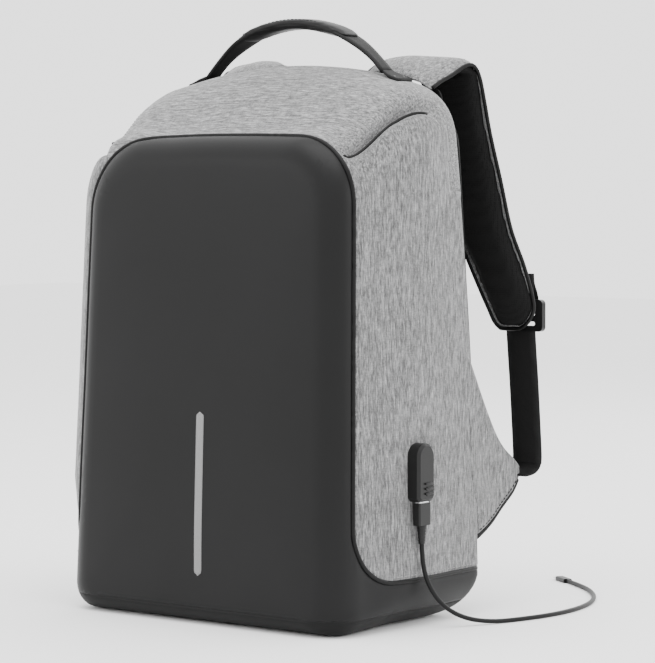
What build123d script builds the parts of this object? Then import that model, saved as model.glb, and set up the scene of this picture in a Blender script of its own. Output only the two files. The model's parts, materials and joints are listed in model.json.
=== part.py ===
"""Anti-theft rucksack with a side USB charging port and its charging lead.

Frame: millimetres, +Z up, the front face looks along -Y, +X is the wearer's right-hand side
and the right seen from the front. The origin is the middle of the flat underside.
The form narrows upwards, leans back a little and rises from the front edge to a rear ridge.
The shell (front, sides, top, base) is one body; the padded back opens away from it at the foot.
"""

import os
from math import cos, pi, radians, sin, sqrt, tan

from build123d import *

os.makedirs("parts", exist_ok=True)

# ---------------------------------------------------------------- driving dimensions
front_y = -92.0  # front face at floor level
front_round = 28.0  # rounding from the front face into the sides and top
lean = 2.19  # degrees the front leans back
half_front_low, half_front_high = 150.0, 139.5  # half widths along the front shoulder
front_height, rear_height = 401.0, 459.0  # shoulder and ridge heights
ridge_y = 33.0  # where the top reaches its full height
belly_y = -2.0  # deepest bulge of the sides
form_end_y = 126.0  # the form runs past the back seam and is cut there
foot_round = 14.0  # rounding under the front edge
rear_foot = 40.0  # rounding along the foot of the sides
crown_rise = 29.0  # how far the ridge arches above its ends

wall = 4.0  # fabric, foam and backing of the shell
lining_gap, lining_wall = 0.2, 0.8
lining_face = wall + lining_gap + lining_wall

seam_back = 20.0  # front seam behind the front face
boot_height = 40.0  # black boot at the sides
boot_corner = 45.0  # rounding of the boot seam at the lower front
base_height = 14.0
top_panel_half, top_panel_low = 122.0, 372.0

rear_low, rear_mid, rear_high = (96.0, 46.0), (81.0, 265.0), (55.0, 470.0)  # back seam
base_end_y = 64.0  # rear end of the flat underside
hinge_z = 62.0  # the back opens about the foot of its zip

back_inset = 6.0  # back panel lies inside the side panels' edge
zip_inset = 5.2
strap_thick = 12.0
webbing_thick = 1.6
far = 300.0  # larger than the bag, for cutting


def circle_through(a, b, c):
    """Centre and radius of the circle through three points."""
    d = 2 * (a[0] * (b[1] - c[1]) + b[0] * (c[1] - a[1]) + c[0] * (a[1] - b[1]))
    squares = [p[0] ** 2 + p[1] ** 2 for p in (a, b, c)]
    u = (squares[0] * (b[1] - c[1]) + squares[1] * (c[1] - a[1]) + squares[2] * (a[1] - b[1])) / d
    v = (squares[0] * (c[0] - b[0]) + squares[1] * (a[0] - c[0]) + squares[2] * (b[0] - a[0])) / d
    return u, v, sqrt((a[0] - u) ** 2 + (a[1] - v) ** 2)


seam_u, seam_v, seam_radius = circle_through(rear_low, rear_mid, rear_high)


def rear_y(z):
    """How far back the seam between shell and back panel lies at a height."""
    return seam_u + sqrt(seam_radius**2 - (z - seam_v) ** 2)


# ---------------------------------------------------------------- the bag's form
def outline(plane, half_low, half_high, height, crown, corner, floor, foot):
    """One cross-section of the bag, seen from the front."""
    with BuildSketch(plane) as section:
        with BuildLine():
            Polyline(
                (-half_high, height - crown), (-half_low, floor),
                (half_low, floor), (half_high, height - crown),
            )
            ThreePointArc((half_high, height - crown), (0, height), (-half_high, height - crown))
        make_face()
        fillet(section.vertices().sort_by(Axis.Y)[-2:], radius=corner)
        fillet(section.vertices().sort_by(Axis.Y)[:2], radius=foot)
    return section.sketch


def leaning(y):
    """A cross-section plane parallel to the front face."""
    return Plane((0, y, 0), x_dir=(1, 0, 0), z_dir=(0, -cos(radians(lean)), sin(radians(lean))))


def bag_form(inset, cut_rear=True):
    """The closed form of the bag, taken in by inset all round."""
    depth = front_round - inset
    outlines = []
    for angle in (0, 22.5, 45, 67.5, 90):
        pull_in = depth * (1 - sin(radians(angle))) + inset
        lift = foot_round * (1 - sin(radians(angle))) + inset
        outlines.append(outline(
            leaning(front_y + inset + depth * (1 - cos(radians(angle)))),
            half_front_low - pull_in, half_front_high - pull_in,
            front_height - pull_in, 4, 58 - pull_in / 2, lift, 22 - inset,
        ))
    rear_sections = (
        (belly_y, 157, 148, 440, 17, 54),
        (ridge_y, 156, 151, rear_height, crown_rise, 46),
        (form_end_y, 151, 149, rear_height - 4, crown_rise, 46),
    )
    for y, low, high, height, crown, corner in rear_sections:
        outlines.append(outline(
            Plane.XZ.offset(-y), low - inset, high - inset,
            height - inset, crown, corner - inset, inset, rear_foot - inset,
        ))
    with BuildPart() as form:
        loft(sections=outlines, ruled=True)
        if cut_rear:
            with BuildSketch(Plane.YZ) as side:
                with BuildLine():
                    Line((base_end_y, inset), (base_end_y, -20))
                    Polyline((base_end_y, -20), (-far, -20), (-far, 2 * far))
                    Line((-far, 2 * far), (rear_high[0] - inset, 2 * far))
                    Line((rear_high[0] - inset, 2 * far), (rear_high[0] - inset, rear_high[1]))
                    ThreePointArc(
                        (rear_high[0] - inset, rear_high[1]),
                        (rear_mid[0] - inset, rear_mid[1]),
                        (rear_low[0] - inset, rear_low[1]),
                    )
                    ThreePointArc(
                        (rear_low[0] - inset, rear_low[1]),
                        (88 - 0.7 * inset, 13 + 0.7 * inset),
                        (base_end_y, inset),
                    )
                make_face()
            extrude(amount=far, both=True, mode=Mode.INTERSECT)
    return form.part


def seam_band(near, away, low, high, half_width=far):
    """A slab that follows the back seam, from near to away behind it."""
    with BuildPart() as band:
        with BuildSketch(Plane.YZ):
            with BuildLine():
                ThreePointArc(*[(y + near, z) for y, z in (rear_low, rear_mid, rear_high)])
                ThreePointArc(*[(y + away, z) for y, z in (rear_low, rear_mid, rear_high)])
                Line((rear_low[0] + near, rear_low[1]), (rear_low[0] + away, rear_low[1]))
                Line((rear_high[0] + near, rear_high[1]), (rear_high[0] + away, rear_high[1]))
            make_face()
        extrude(amount=half_width, both=True)
        with BuildSketch(Plane.XY.offset(low)):
            Rectangle(4 * far, 4 * far)
        extrude(amount=high - low, mode=Mode.INTERSECT)
    return band.part


def block(x, y, z):
    """A plain cutting block between pairs of limits."""
    size = (x[1] - x[0], y[1] - y[0], z[1] - z[0])
    centre = ((x[0] + x[1]) / 2, (y[0] + y[1]) / 2, (z[0] + z[1]) / 2)
    return Pos(*centre) * Box(*size, mode=Mode.PRIVATE)


def front_zone(shift=0.0):
    """Everything in front of the front seam and below the boot seam, moved back by shift."""
    with BuildPart() as zone:
        with BuildSketch(Plane.YZ) as side:
            top = 2 * far
            seam_top = front_y + seam_back + shift + top * tan(radians(lean))
            seam_low = front_y + seam_back + shift + boot_height * tan(radians(lean))
            with BuildLine():
                Polyline(
                    (-far, -far), (far, -far), (far, boot_height + shift),
                    (seam_low, boot_height + shift), (seam_top, top), (-far, top), close=True,
                )
            make_face()
            inner = side.vertices().sort_by_distance((seam_low, boot_height + shift))[0]
            fillet(inner, radius=boot_corner - shift)
        extrude(amount=far, both=True)
    return zone.part


def save(built, name):
    """Labels a finished piece and writes its STEP file."""
    built.part.label = name
    export_step(built.part, f"parts/{name}.step")


outer, hollow, lining_outer = bag_form(0), bag_form(wall), bag_form(wall + lining_gap)
open_hollow = bag_form(wall, cut_rear=False)
lining_inner = bag_form(lining_face)
open_lining = bag_form(lining_face, cut_rear=False)
back_form = bag_form(back_inset, cut_rear=False)
zip_form = bag_form(zip_inset, cut_rear=False)
mouth = block((-far, far), (-far, far), (hinge_z, 2 * far))
front_side = front_zone()

with BuildPart() as shell:  # the whole wall, open at the back above the hinge line
    add(outer)
    add(hollow, mode=Mode.SUBTRACT)
    add(open_hollow & mouth, mode=Mode.SUBTRACT)
shell_wall = shell.part

# ---------------------------------------------------------------- charging port places
port_y, port_low, port_high, port_width, port_face = 3.0, 104.0, 151.0, 22.0, 166.0
port_x = 160.6  # middle of the socket
screw_heights = (110.5, 144.5)
spigot_z = 128.0
port_holes = [(spigot_z, 3.2)] + [(z, 1.5) for z in screw_heights]


def port_drillings():
    """Holes through the right side for the port's spigot and screws."""
    with BuildPart() as drill:
        for z, radius in port_holes:
            with Locations(Location((140, port_y, z), (0, 90, 0))):
                Cylinder(radius, 40)
    return drill.part


# ---------------------------------------------------------------- shell panels
with BuildPart() as base_panel:
    add(shell_wall)
    add(block((-far, far), (-far, far), (-10, base_height)), mode=Mode.INTERSECT)
save(base_panel, "base_panel")

with BuildPart() as front_panel:
    add(shell_wall)
    add(front_side, mode=Mode.INTERSECT)
    add(block((-far, far), (-far, far), (-10, base_height)), mode=Mode.SUBTRACT)
save(front_panel, "front_panel")

lower_back_zone = block((-138, 138), (85, far), (boot_height, hinge_z + 1))
with BuildPart() as lower_back_panel:
    add(shell_wall)
    add(lower_back_zone, mode=Mode.INTERSECT)
save(lower_back_panel, "lower_back_panel")

top_zone = block((-top_panel_half, top_panel_half), (-far, far), (top_panel_low, 2 * far))
with BuildPart() as top_panel:
    add(shell_wall)
    add(front_side, mode=Mode.SUBTRACT)
    add(top_zone, mode=Mode.INTERSECT)
save(top_panel, "top_panel")

for side, name in ((-1, "side_panel_left"), (1, "side_panel_right")):
    with BuildPart() as side_panel:
        add(shell_wall)
        for zone in (front_side, top_zone, lower_back_zone):
            add(zone, mode=Mode.SUBTRACT)
        add(block(sorted((0, side * far)), (-far, far), (-10, 2 * far)), mode=Mode.INTERSECT)
        if side > 0:
            add(port_drillings(), mode=Mode.SUBTRACT)
    save(side_panel, name)

with BuildPart() as lining:
    add(lining_outer)
    add(lining_inner, mode=Mode.SUBTRACT)
    add(open_lining & mouth, mode=Mode.SUBTRACT)
    add(port_drillings(), mode=Mode.SUBTRACT)
save(lining, "lining")

piping_width, piping_proud = 2.4, 1.3
with BuildPart() as front_piping:
    add(bag_form(-piping_proud))
    add(outer, mode=Mode.SUBTRACT)
    add(front_zone(piping_width / 2), mode=Mode.INTERSECT)
    add(front_zone(-piping_width / 2), mode=Mode.SUBTRACT)
save(front_piping, "front_piping")

# ---------------------------------------------------------------- things on and behind the front
strip_low, strip_high, strip_width, strip_x, strip_thick = 40.3, 174.2, 8.0, 3.0, 0.8
with BuildPart() as reflective_strip:
    with BuildSketch(leaning(front_y)):
        with Locations((strip_x, (strip_low + strip_high) / 2)):
            SlotOverall(strip_high - strip_low, strip_width, rotation=90)
    extrude(amount=strip_thick)
save(reflective_strip, "reflective_strip")

with BuildPart() as front_stiffener:
    with BuildSketch(leaning(front_y + lining_face + 0.3)):
        with Locations((0, 196)):
            RectangleRounded(216, 330, 26)
    extrude(amount=-1.8)
save(front_stiffener, "front_stiffener")

with BuildPart() as base_board:
    with BuildSketch(Plane.XY.offset(lining_face + 0.3)):
        with Locations((0, -6)):
            RectangleRounded(222, 112, 18)
    extrude(amount=2)
save(base_board, "base_board")

organiser_y = front_y + lining_face + 0.3 + 1.8 + 0.3
with BuildPart() as organiser_pocket:
    with BuildSketch(leaning(organiser_y)):
        with Locations((0, 140)):
            RectangleRounded(200, 160, 8)
    extrude(amount=-10)
    with BuildSketch(leaning(organiser_y + 1.5)):
        for x, width in ((-48, 92), (48, 92)):
            with Locations((x, 150)):
                Rectangle(width, 160)
    extrude(amount=-6.5, mode=Mode.SUBTRACT)
save(organiser_pocket, "organiser_pocket")

pocket_x, pocket_y, pocket_z = (112, 138), (-46, 40), (27, 112)
with BuildPart() as power_bank_pocket:
    add(block(pocket_x, pocket_y, pocket_z))
    add(
        block([pocket_x[0] + 1.2, pocket_x[1] - 1.2], [pocket_y[0] + 1.2, pocket_y[1] - 1.2],
              [pocket_z[0] + 1.2, pocket_z[1] + 1]),
        mode=Mode.SUBTRACT,
    )
save(power_bank_pocket, "power_bank_pocket")

# ---------------------------------------------------------------- charging port on the right side
with BuildPart() as usb_housing:
    with BuildSketch(Plane.YZ.offset(port_x - 12)):
        with BuildLine():
            low = port_low
            shoulder = port_high - port_width / 2
            left, right = port_y - port_width / 2, port_y + port_width / 2
            Polyline((left, shoulder), (left, low + 3), (left + 3, low), (right - 3, low),
                     (right, low + 3), (right, shoulder))
            ThreePointArc((right, shoulder), (port_y, port_high), (left, shoulder))
        make_face()
    extrude(amount=port_face - port_x + 12)
    outer_rim = usb_housing.faces().sort_by(Axis.X)[-1].edges()
    chamfer(outer_rim, length=2.2)
    add(outer, mode=Mode.SUBTRACT)
    with Locations((port_x, port_y, low + 7.2)):
        Box(5.9, 13.3, 14.4, mode=Mode.SUBTRACT)
    with Locations(Location((152, port_y, spigot_z), (0, 90, 0))):
        Cylinder(3, 12)
    for z in screw_heights:
        with Locations(Location((152, port_y, z), (0, 90, 0))):
            Cylinder(1.5, 11, mode=Mode.SUBTRACT)
    for rib in range(4):  # grip ridges low on the face
        with Locations((port_face, port_y + 4, low + 5 + 2.2 * rib)):
            Box(1.0, 9, 1.0)
save(usb_housing, "usb_housing")

with BuildPart() as usb_socket_shell:
    with Locations((port_x, port_y, port_low + 7.2)):
        Box(5.7, 13.1, 14.2)
    with Locations((port_x, port_y, port_low + 6.8)):
        Box(5.1, 12.5, 13.6, mode=Mode.SUBTRACT)
save(usb_socket_shell, "usb_socket_shell")

with BuildPart() as usb_socket_tongue:
    with Locations((port_x + 1.1, port_y, port_low + 9.1)):
        Box(1.7, 11, 9)
save(usb_socket_tongue, "usb_socket_tongue")

plate_face = lining_face + 0.1
with BuildPart() as usb_backing_plate:
    add(bag_form(plate_face))
    add(bag_form(plate_face + 1.6), mode=Mode.SUBTRACT)
    add(block((100, 200), (port_y - 11, port_y + 11), (102, 153)), mode=Mode.INTERSECT)
    add(port_drillings(), mode=Mode.SUBTRACT)
save(usb_backing_plate, "usb_backing_plate")

with BuildPart() as usb_screws:
    for z in screw_heights:
        with Locations(Location((151.2, port_y, z), (0, 90, 0))):
            Cylinder(1.4, 12)
        with Locations(Location((146.0, port_y, z), (0, 90, 0))):
            Cylinder(2.7, 1.6)
save(usb_screws, "usb_screws")

# the lead inside, from the port to the power bank's pocket
inner_radius = 1.8
inner_points = [(145.9, port_y, spigot_z), (125, port_y, spigot_z), (125, port_y, 100)]
with BuildPart() as usb_inner_cable:
    with BuildLine():
        FilletPolyline(*inner_points, radius=11)
    with BuildSketch(Plane(inner_points[0], z_dir=(-1, 0, 0))):
        Circle(inner_radius)
    sweep()
save(usb_inner_cable, "usb_inner_cable")

plug_wide, plug_deep = 15.4, 7.6
shell_wide, shell_deep, shell_long = 12.0, 4.5, 11.6


def usb_plug(x, y, face_z, body_long, points_up):
    """Moulded body and metal shell of a USB-A plug whose body's face is at face_z."""
    way = 1 if points_up else -1
    with BuildPart() as body:
        with BuildSketch(Plane.XY.offset(face_z)):
            with Locations((x, y)):
                RectangleRounded(plug_deep, plug_wide, 1.6)
        extrude(amount=-way * body_long)
    with BuildPart() as metal:
        with Locations((x, y, face_z + way * shell_long / 2)):
            Box(shell_deep, shell_wide, shell_long)
        with Locations((x, y, face_z + way * (shell_long / 2 + 1))):
            Box(shell_deep - 0.6, shell_wide - 0.6, shell_long, mode=Mode.SUBTRACT)
    return body, metal


inner_body, inner_metal = usb_plug(125, port_y, 84, 16, points_up=False)
save(inner_body, "inner_plug")
save(inner_metal, "inner_plug_shell")

# ---------------------------------------------------------------- charging lead outside
plug_face, plug_long = 102.8, 18.0
lead_body, lead_metal = usb_plug(port_x, port_y, plug_face, plug_long, points_up=True)
save(lead_body, "charging_plug")
save(lead_metal, "charging_plug_shell")

cable_radius = 1.9
relief_long = 7.0
cable_top = plug_face - plug_long - relief_long
with BuildPart() as plug_relief:
    with BuildSketch(Plane.XY.offset(cable_top)):
        with Locations((port_x, port_y)):
            Circle(2.1)
    with BuildSketch(Plane.XY.offset(cable_top + relief_long)):
        with Locations((port_x, port_y)):
            Circle(3.0)
    loft()
save(plug_relief, "plug_relief")

lie = cable_radius + 0.1  # height of the lead's middle where it lies on the ground
cable_points = [
    (port_x, port_y, cable_top),
    (port_x, port_y, 58),
    (163, 7, 38),
    (169, 18, 19),
    (178, 36, 7),
    (189, 60, lie),
    (199, 90, lie),
    (205, 124, lie),
    (204, 160, lie),
    (195, 196, lie),
    (179, 229, lie),
    (157, 258, lie),
    (131, 282, lie),
    (102, 302, lie),
]


def corner_radii(points):
    """Radius of the arc at each corner of a lead's route."""
    radii = []
    for before, here, after in zip(points, points[1:], points[2:]):
        run_in, run_out = Vector(*here) - Vector(*before), Vector(*after) - Vector(*here)
        turn = radians(run_in.get_angle(run_out))
        radii.append(0.45 * min(run_in.length, run_out.length) / tan(turn / 2))
    return radii


cable_radii = corner_radii(cable_points)
with BuildPart() as charging_cable:
    with BuildLine() as cable_line:
        FilletPolyline(*cable_points, radius=cable_radii)
    with BuildSketch(Plane(cable_points[0], z_dir=Vector(*cable_points[1]) - Vector(*cable_points[0]))):
        Circle(cable_radius)
    sweep()
save(charging_cable, "charging_cable")
cable_length = sum(edge.length for edge in cable_line.edges())
print("cable radii", [round(radius, 1) for radius in cable_radii])
print("cable length", round(cable_length, 1), "volume ratio",
      round(charging_cable.part.volume / (pi * cable_radius**2 * cable_length), 4))

end_way = (Vector(*cable_points[-1]) - Vector(*cable_points[-2])).normalized()
end_plane = Plane(cable_points[-1], x_dir=(0, 0, 1), z_dir=end_way)
connector_high, connector_wide, connector_long = 3.9, 8.0, 20.0
with BuildPart() as phone_connector:
    with BuildSketch(end_plane):
        RectangleRounded(connector_high, connector_wide, 1.5)
    extrude(amount=connector_long)
save(phone_connector, "phone_connector")
with BuildPart() as phone_connector_tip:
    with BuildSketch(end_plane.offset(connector_long)):
        RectangleRounded(1.5, 6.7, 0.7)
    extrude(amount=7)
save(phone_connector_tip, "phone_connector_tip")

# ---------------------------------------------------------------- back seam zip
zip_low, zip_high = hinge_z + 1, rear_high[1]
zip_hollow = bag_form(zip_inset + 1.2, cut_rear=False)
teeth_hollow = bag_form(zip_inset + 3, cut_rear=False)
with BuildPart() as zip_tape_shell:
    add((zip_form - zip_hollow) & seam_band(-14, 0.01, zip_low, zip_high))
    add((zip_form - teeth_hollow) & seam_band(0, 1.4, zip_low, zip_high))
save(zip_tape_shell, "zip_tape_shell")

with BuildPart() as zip_tape_back:
    add((zip_form - bag_form(16, cut_rear=False)) & seam_band(1.7, 3.1, zip_low, zip_high))
save(zip_tape_back, "zip_tape_back")

slider_x, slider_y = 13.0, rear_y(455) + 1.3
for side, hand in ((-1, "left"), (1, "right")):
    with BuildPart() as slider:
        with Locations((side * slider_x, slider_y + 4.2, rear_height - 3.3)):
            Box(9, 8.4, 2.4)
            with Locations((0, 1.6, 2.2)):
                Box(2.2, 3.4, 2)
    save(slider, f"zip_slider_{hand}")
    pull_y = slider_y + 9.2
    with BuildPart() as pull:
        with BuildSketch(Plane.XZ.offset(-(pull_y + 10.8))):
            with Locations((side * slider_x, rear_height - 18)):
                RectangleRounded(6.4, 34, 2.6)
        extrude(amount=-1.8)
        with Locations((side * slider_x, pull_y + 6, rear_height - 2.4)):
            Box(4, 12.8, 1.8)
    save(pull, f"zip_pull_{hand}")

# ---------------------------------------------------------------- padded back
back_low = hinge_z + 1.5
with BuildPart() as back_board:
    add(bag_form(18, cut_rear=False) & seam_band(3.2, 4.8, back_low + 1, 440))
save(back_board, "back_board")

with BuildPart() as back_panel:
    add(back_form & seam_band(5, 12, back_low, 470))
    add((back_form - bag_form(17.8, cut_rear=False)) & seam_band(3.2, 5, back_low, 470))
save(back_panel, "back_panel")

sleeve_half, sleeve_low, sleeve_high = 122.0, 84.0, 340.0
with BuildPart() as laptop_sleeve:
    add(seam_band(-9, 3.1, sleeve_low, sleeve_high, sleeve_half))
    add(
        seam_band(-7.8, 1.9, sleeve_low + 1.2, sleeve_high + 1, sleeve_half - 1.2),
        mode=Mode.SUBTRACT,
    )
save(laptop_sleeve, "laptop_sleeve")

pad_front, pad_back = 12.2, 22.0
for side, hand in ((-1, "left"), (1, "right")):
    with BuildPart() as back_pad:
        add(bag_form(18, cut_rear=False) & seam_band(pad_front, pad_back, 168, 392))
        add(block(sorted((side * 18, side * 126)), (-far, far), (0, 2 * far)), mode=Mode.INTERSECT)
    save(back_pad, f"back_pad_{hand}")

with BuildPart() as lumbar_pad:
    add(bag_form(18, cut_rear=False) & seam_band(pad_front, 25, 78, 156))
save(lumbar_pad, "lumbar_pad")

with BuildPart() as yoke:
    add(bag_form(14, cut_rear=False) & seam_band(pad_front, 16, 404, 440))
save(yoke, "yoke")

luggage_low, luggage_high, luggage_half = 222.0, 288.0, 133.0
with BuildPart() as luggage_strap:
    add(seam_band(pad_back + 0.3, pad_back + 2, luggage_low, luggage_high, luggage_half))
    add(
        seam_band(pad_front, pad_back + 1, luggage_low, luggage_high, luggage_half)
        - seam_band(pad_front - 1, pad_back + 2, luggage_low - 1, luggage_high + 1, luggage_half - 4)
    )
save(luggage_strap, "luggage_strap")

# ---------------------------------------------------------------- side wings
wing_inner, wing_outer = 145.6, 151.0
wing_tip = (157.0, 118.0)
for side, hand in ((-1, "left"), (1, "right")):
    with BuildPart() as wing:
        with BuildSketch(Plane.YZ.offset(side * wing_inner)) as wing_face:
            with BuildLine():
                Polyline(
                    (rear_y(216) + 2, 216), (wing_tip[0] - 3, wing_tip[1] + 8),
                    (wing_tip[0] - 2, wing_tip[1] - 9), (rear_y(80) + 12, 80), (60, 80), (60, 216),
                    close=True,
                )
            make_face()
            fillet(wing_face.vertices().sort_by(Axis.X)[-2:], radius=6)
        extrude(amount=side * (wing_outer - wing_inner), dir=(1, 0, 0))
        add(seam_band(0, 90, 70, 220), mode=Mode.INTERSECT)
        add(seam_band(-1, 2, 60, 230), mode=Mode.SUBTRACT)
        add(zip_form, mode=Mode.SUBTRACT)
    save(wing, f"wing_{hand}")

# ---------------------------------------------------------------- shoulder straps
root_low, root_inner, root_outer = 440.0, 54.0, 124.0  # where a strap lies on the back's top edge
strap_side = [(62.5, 450), (82, 460), (112, 461), (129, 400), (141, 320), (147, 237)]
strap_inner_edge = [(58, 480), (80, 400), (90, 330), (106, 290), (130, 237)]
strap_foot = [(130, 237), (158, 237), (172, 256)]
strap_outer_edge = [(172, 256), (163, 290), (150, 322), (137, 400), (132, 440), (130, 480)]
strap_plan = [(54, 56), (124, 56), (127, 90), (133, 104), (175, 118), (175, 170), (70, 170),
              (70, 128), (62, 104), (54, 90)]

with BuildPart() as strap_form:  # side view, front view and plan of one strap, cut together
    with BuildSketch(Plane.YZ):
        with BuildLine():
            FilletPolyline(*strap_side, radius=(30, 19, 120, 160))
        trace(line_width=strap_thick)
    extrude(amount=far)
    with BuildSketch(Plane.XZ):
        with BuildLine():
            Spline(*strap_inner_edge)
            Polyline(*strap_foot)
            Spline(*strap_outer_edge)
            Line(strap_outer_edge[-1], strap_inner_edge[0])
        make_face()
        with Locations(((root_inner + root_outer) / 2, root_low + 20)):
            Rectangle(root_outer - root_inner, 40)
    extrude(amount=-far, mode=Mode.INTERSECT)
    with BuildSketch(Plane.XY):
        Polygon(*strap_plan, align=None)
    extrude(amount=2 * far, mode=Mode.INTERSECT)
    add(back_form & seam_band(-4, 16, 380, 470), mode=Mode.SUBTRACT)
for side, hand in ((-1, "left"), (1, "right")):
    with BuildPart() as strap:
        add(strap_form.part if side > 0 else strap_form.part.mirror(Plane.YZ))
    save(strap, f"shoulder_strap_{hand}")

lock_x, lock_y, lock_top, lock_high, lock_wide = 150.0, 158.0, 262.0, 27.0, 46.0
for side, hand in ((-1, "left"), (1, "right")):
    with BuildPart() as tab:
        with Locations((side * lock_x, lock_y - 4, lock_top + 6.5)):
            Box(30, 5, 12)
        add(strap_form.part if side > 0 else strap_form.part.mirror(Plane.YZ), mode=Mode.SUBTRACT)
    save(tab, f"strap_tab_{hand}")
    with BuildPart() as lock:
        with BuildSketch(Plane.XZ.offset(-(lock_y - 2.5))):
            with Locations((side * lock_x, lock_top - lock_high / 2)):
                RectangleRounded(lock_wide, lock_high, 4)
            for slot_z in (4.6, 12.2, 20.4):
                with Locations((side * lock_x, lock_top - slot_z)):
                    SlotOverall(31, 3.6, mode=Mode.SUBTRACT)
        extrude(amount=-5)
        with Locations((side * lock_x, lock_y + 1, lock_top - lock_high - 2)):
            Box(18, 2.6, 4.4)
    save(lock, f"ladder_lock_{hand}")
    with BuildPart() as webbing:
        with BuildSketch(Plane.YZ.offset(side * (lock_x - 15.5))):
            with BuildLine():
                Polyline((lock_y, lock_top - lock_high - 5), (162, 180), (167, 128),
                         (165, 116), (wing_tip[0] - 4, wing_tip[1] - 4))
            trace(line_width=webbing_thick)
        extrude(amount=side * 31, dir=(1, 0, 0))
        with Locations((side * 145, wing_tip[0] - 3, wing_tip[1] - 4)):
            Box(20, 4, 6)
        add(block((-wing_outer, -wing_inner), (100, 200), (60, wing_tip[1] + 40)) if side < 0
            else block((wing_inner, wing_outer), (100, 200), (60, wing_tip[1] + 40)),
            mode=Mode.SUBTRACT)
    save(webbing, f"adjuster_webbing_{hand}")

# ---------------------------------------------------------------- carry handle
handle_y, handle_half, handle_foot, handle_top = 42.0, 92.0, 455.0, 497.0
handle_thick, handle_wide, handle_neck = 5.0, 28.0, 9.0
handle_plan = [(108, handle_neck / 2), (86, handle_neck / 2), (54, handle_wide / 2)]
anchor_inner, anchor_outer = handle_half + 4, handle_half + 20
with BuildPart() as handle_grip:
    with BuildSketch(Plane.XZ.offset(-handle_y)):
        with BuildLine():
            ThreePointArc((-handle_half, handle_foot), (0, handle_top - handle_thick / 2),
                          (handle_half, handle_foot))
        trace(line_width=handle_thick)
    extrude(amount=handle_wide / 2, both=True)
    with BuildSketch(Plane.XY.offset(handle_foot - 20)):
        with Locations((0, handle_y)):
            Polygon(*[(sx * x, sy * y) for sx, sy, row in (
                (-1, -1, handle_plan), (1, -1, handle_plan[::-1]), (1, 1, handle_plan),
                (-1, 1, handle_plan[::-1])) for x, y in row],
                    align=None)
    extrude(amount=80, mode=Mode.INTERSECT)
    with Locations(*[Location((x, handle_y, handle_foot), (0, 90, 0))
                     for x in (-handle_half, handle_half)]):
        Cylinder(3.4, 7.4)
save(handle_grip, "carry_handle")

for side, hand in ((-1, "left"), (1, "right")):
    with BuildPart() as anchor:
        anchor_across = sorted((side * anchor_inner, side * anchor_outer))
        add(block(anchor_across, (handle_y - 9, handle_y + 9), (425, 458.6)))
        add(outer, mode=Mode.SUBTRACT)
    save(anchor, f"handle_anchor_{hand}")

print("seam at hinge", round(rear_y(hinge_z), 2), "crown radius",
      round(circle_through((-151, rear_height - crown_rise), (0, rear_height),
                           (151, rear_height - crown_rise))[2], 1))
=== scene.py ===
import math
import json
import bpy
import bmesh
from mathutils import Matrix, Vector, noise
from mathutils.bvhtree import BVHTree
from mathutils.kdtree import KDTree


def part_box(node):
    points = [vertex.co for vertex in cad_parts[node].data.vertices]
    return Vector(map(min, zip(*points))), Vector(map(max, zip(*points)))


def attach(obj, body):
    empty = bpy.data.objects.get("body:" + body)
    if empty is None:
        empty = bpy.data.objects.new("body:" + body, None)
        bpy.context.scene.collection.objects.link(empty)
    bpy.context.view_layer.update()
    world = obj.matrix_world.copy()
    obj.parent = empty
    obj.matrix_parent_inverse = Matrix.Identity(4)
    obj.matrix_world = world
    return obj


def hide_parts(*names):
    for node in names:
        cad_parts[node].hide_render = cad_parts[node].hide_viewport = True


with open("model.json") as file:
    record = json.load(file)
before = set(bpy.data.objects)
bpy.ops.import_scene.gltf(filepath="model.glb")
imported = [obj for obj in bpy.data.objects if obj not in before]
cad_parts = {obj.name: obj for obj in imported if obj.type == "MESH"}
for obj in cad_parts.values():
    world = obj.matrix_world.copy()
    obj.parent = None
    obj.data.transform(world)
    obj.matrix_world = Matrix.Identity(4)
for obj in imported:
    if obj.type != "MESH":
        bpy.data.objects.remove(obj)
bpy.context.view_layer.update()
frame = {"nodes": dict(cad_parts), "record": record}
print("frame loaded:", len(frame["nodes"]), "nodes")

mm = 0.001
hands = (("left", -1), ("right", 1))


def corner(node, which):
    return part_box(node)[which]


# camera, light, floor
camera = dict(
    place=(1.51819, -1.81811, 0.35474), look=(-0.62337, 0.78032, -0.05007), lens=153.7,
)
lamps = [  # name, place, aims at, size, power, colour
    ("keyTop", (0.25, -0.35, 2.0), (0, 0, 0.25), (1.6, 1.4), 30, (1, 1, 1)),
    ("frontLeft", (-1.5, -2.4, 1.3), (0, 0, 0.25), (1.2, 1.2), 12, (1, 1, 1)),
    ("sideRight", (2.4, 0.3, 1.0), (0.1, 0, 0.2), (1.2, 1.4), 18, (1, 1, 1)),
    ("rearHigh", (0.2, 2.2, 1.4), (0, 0, 0.3), (1.6, 1.2), 18, (1, 1, 1)),
]


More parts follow.
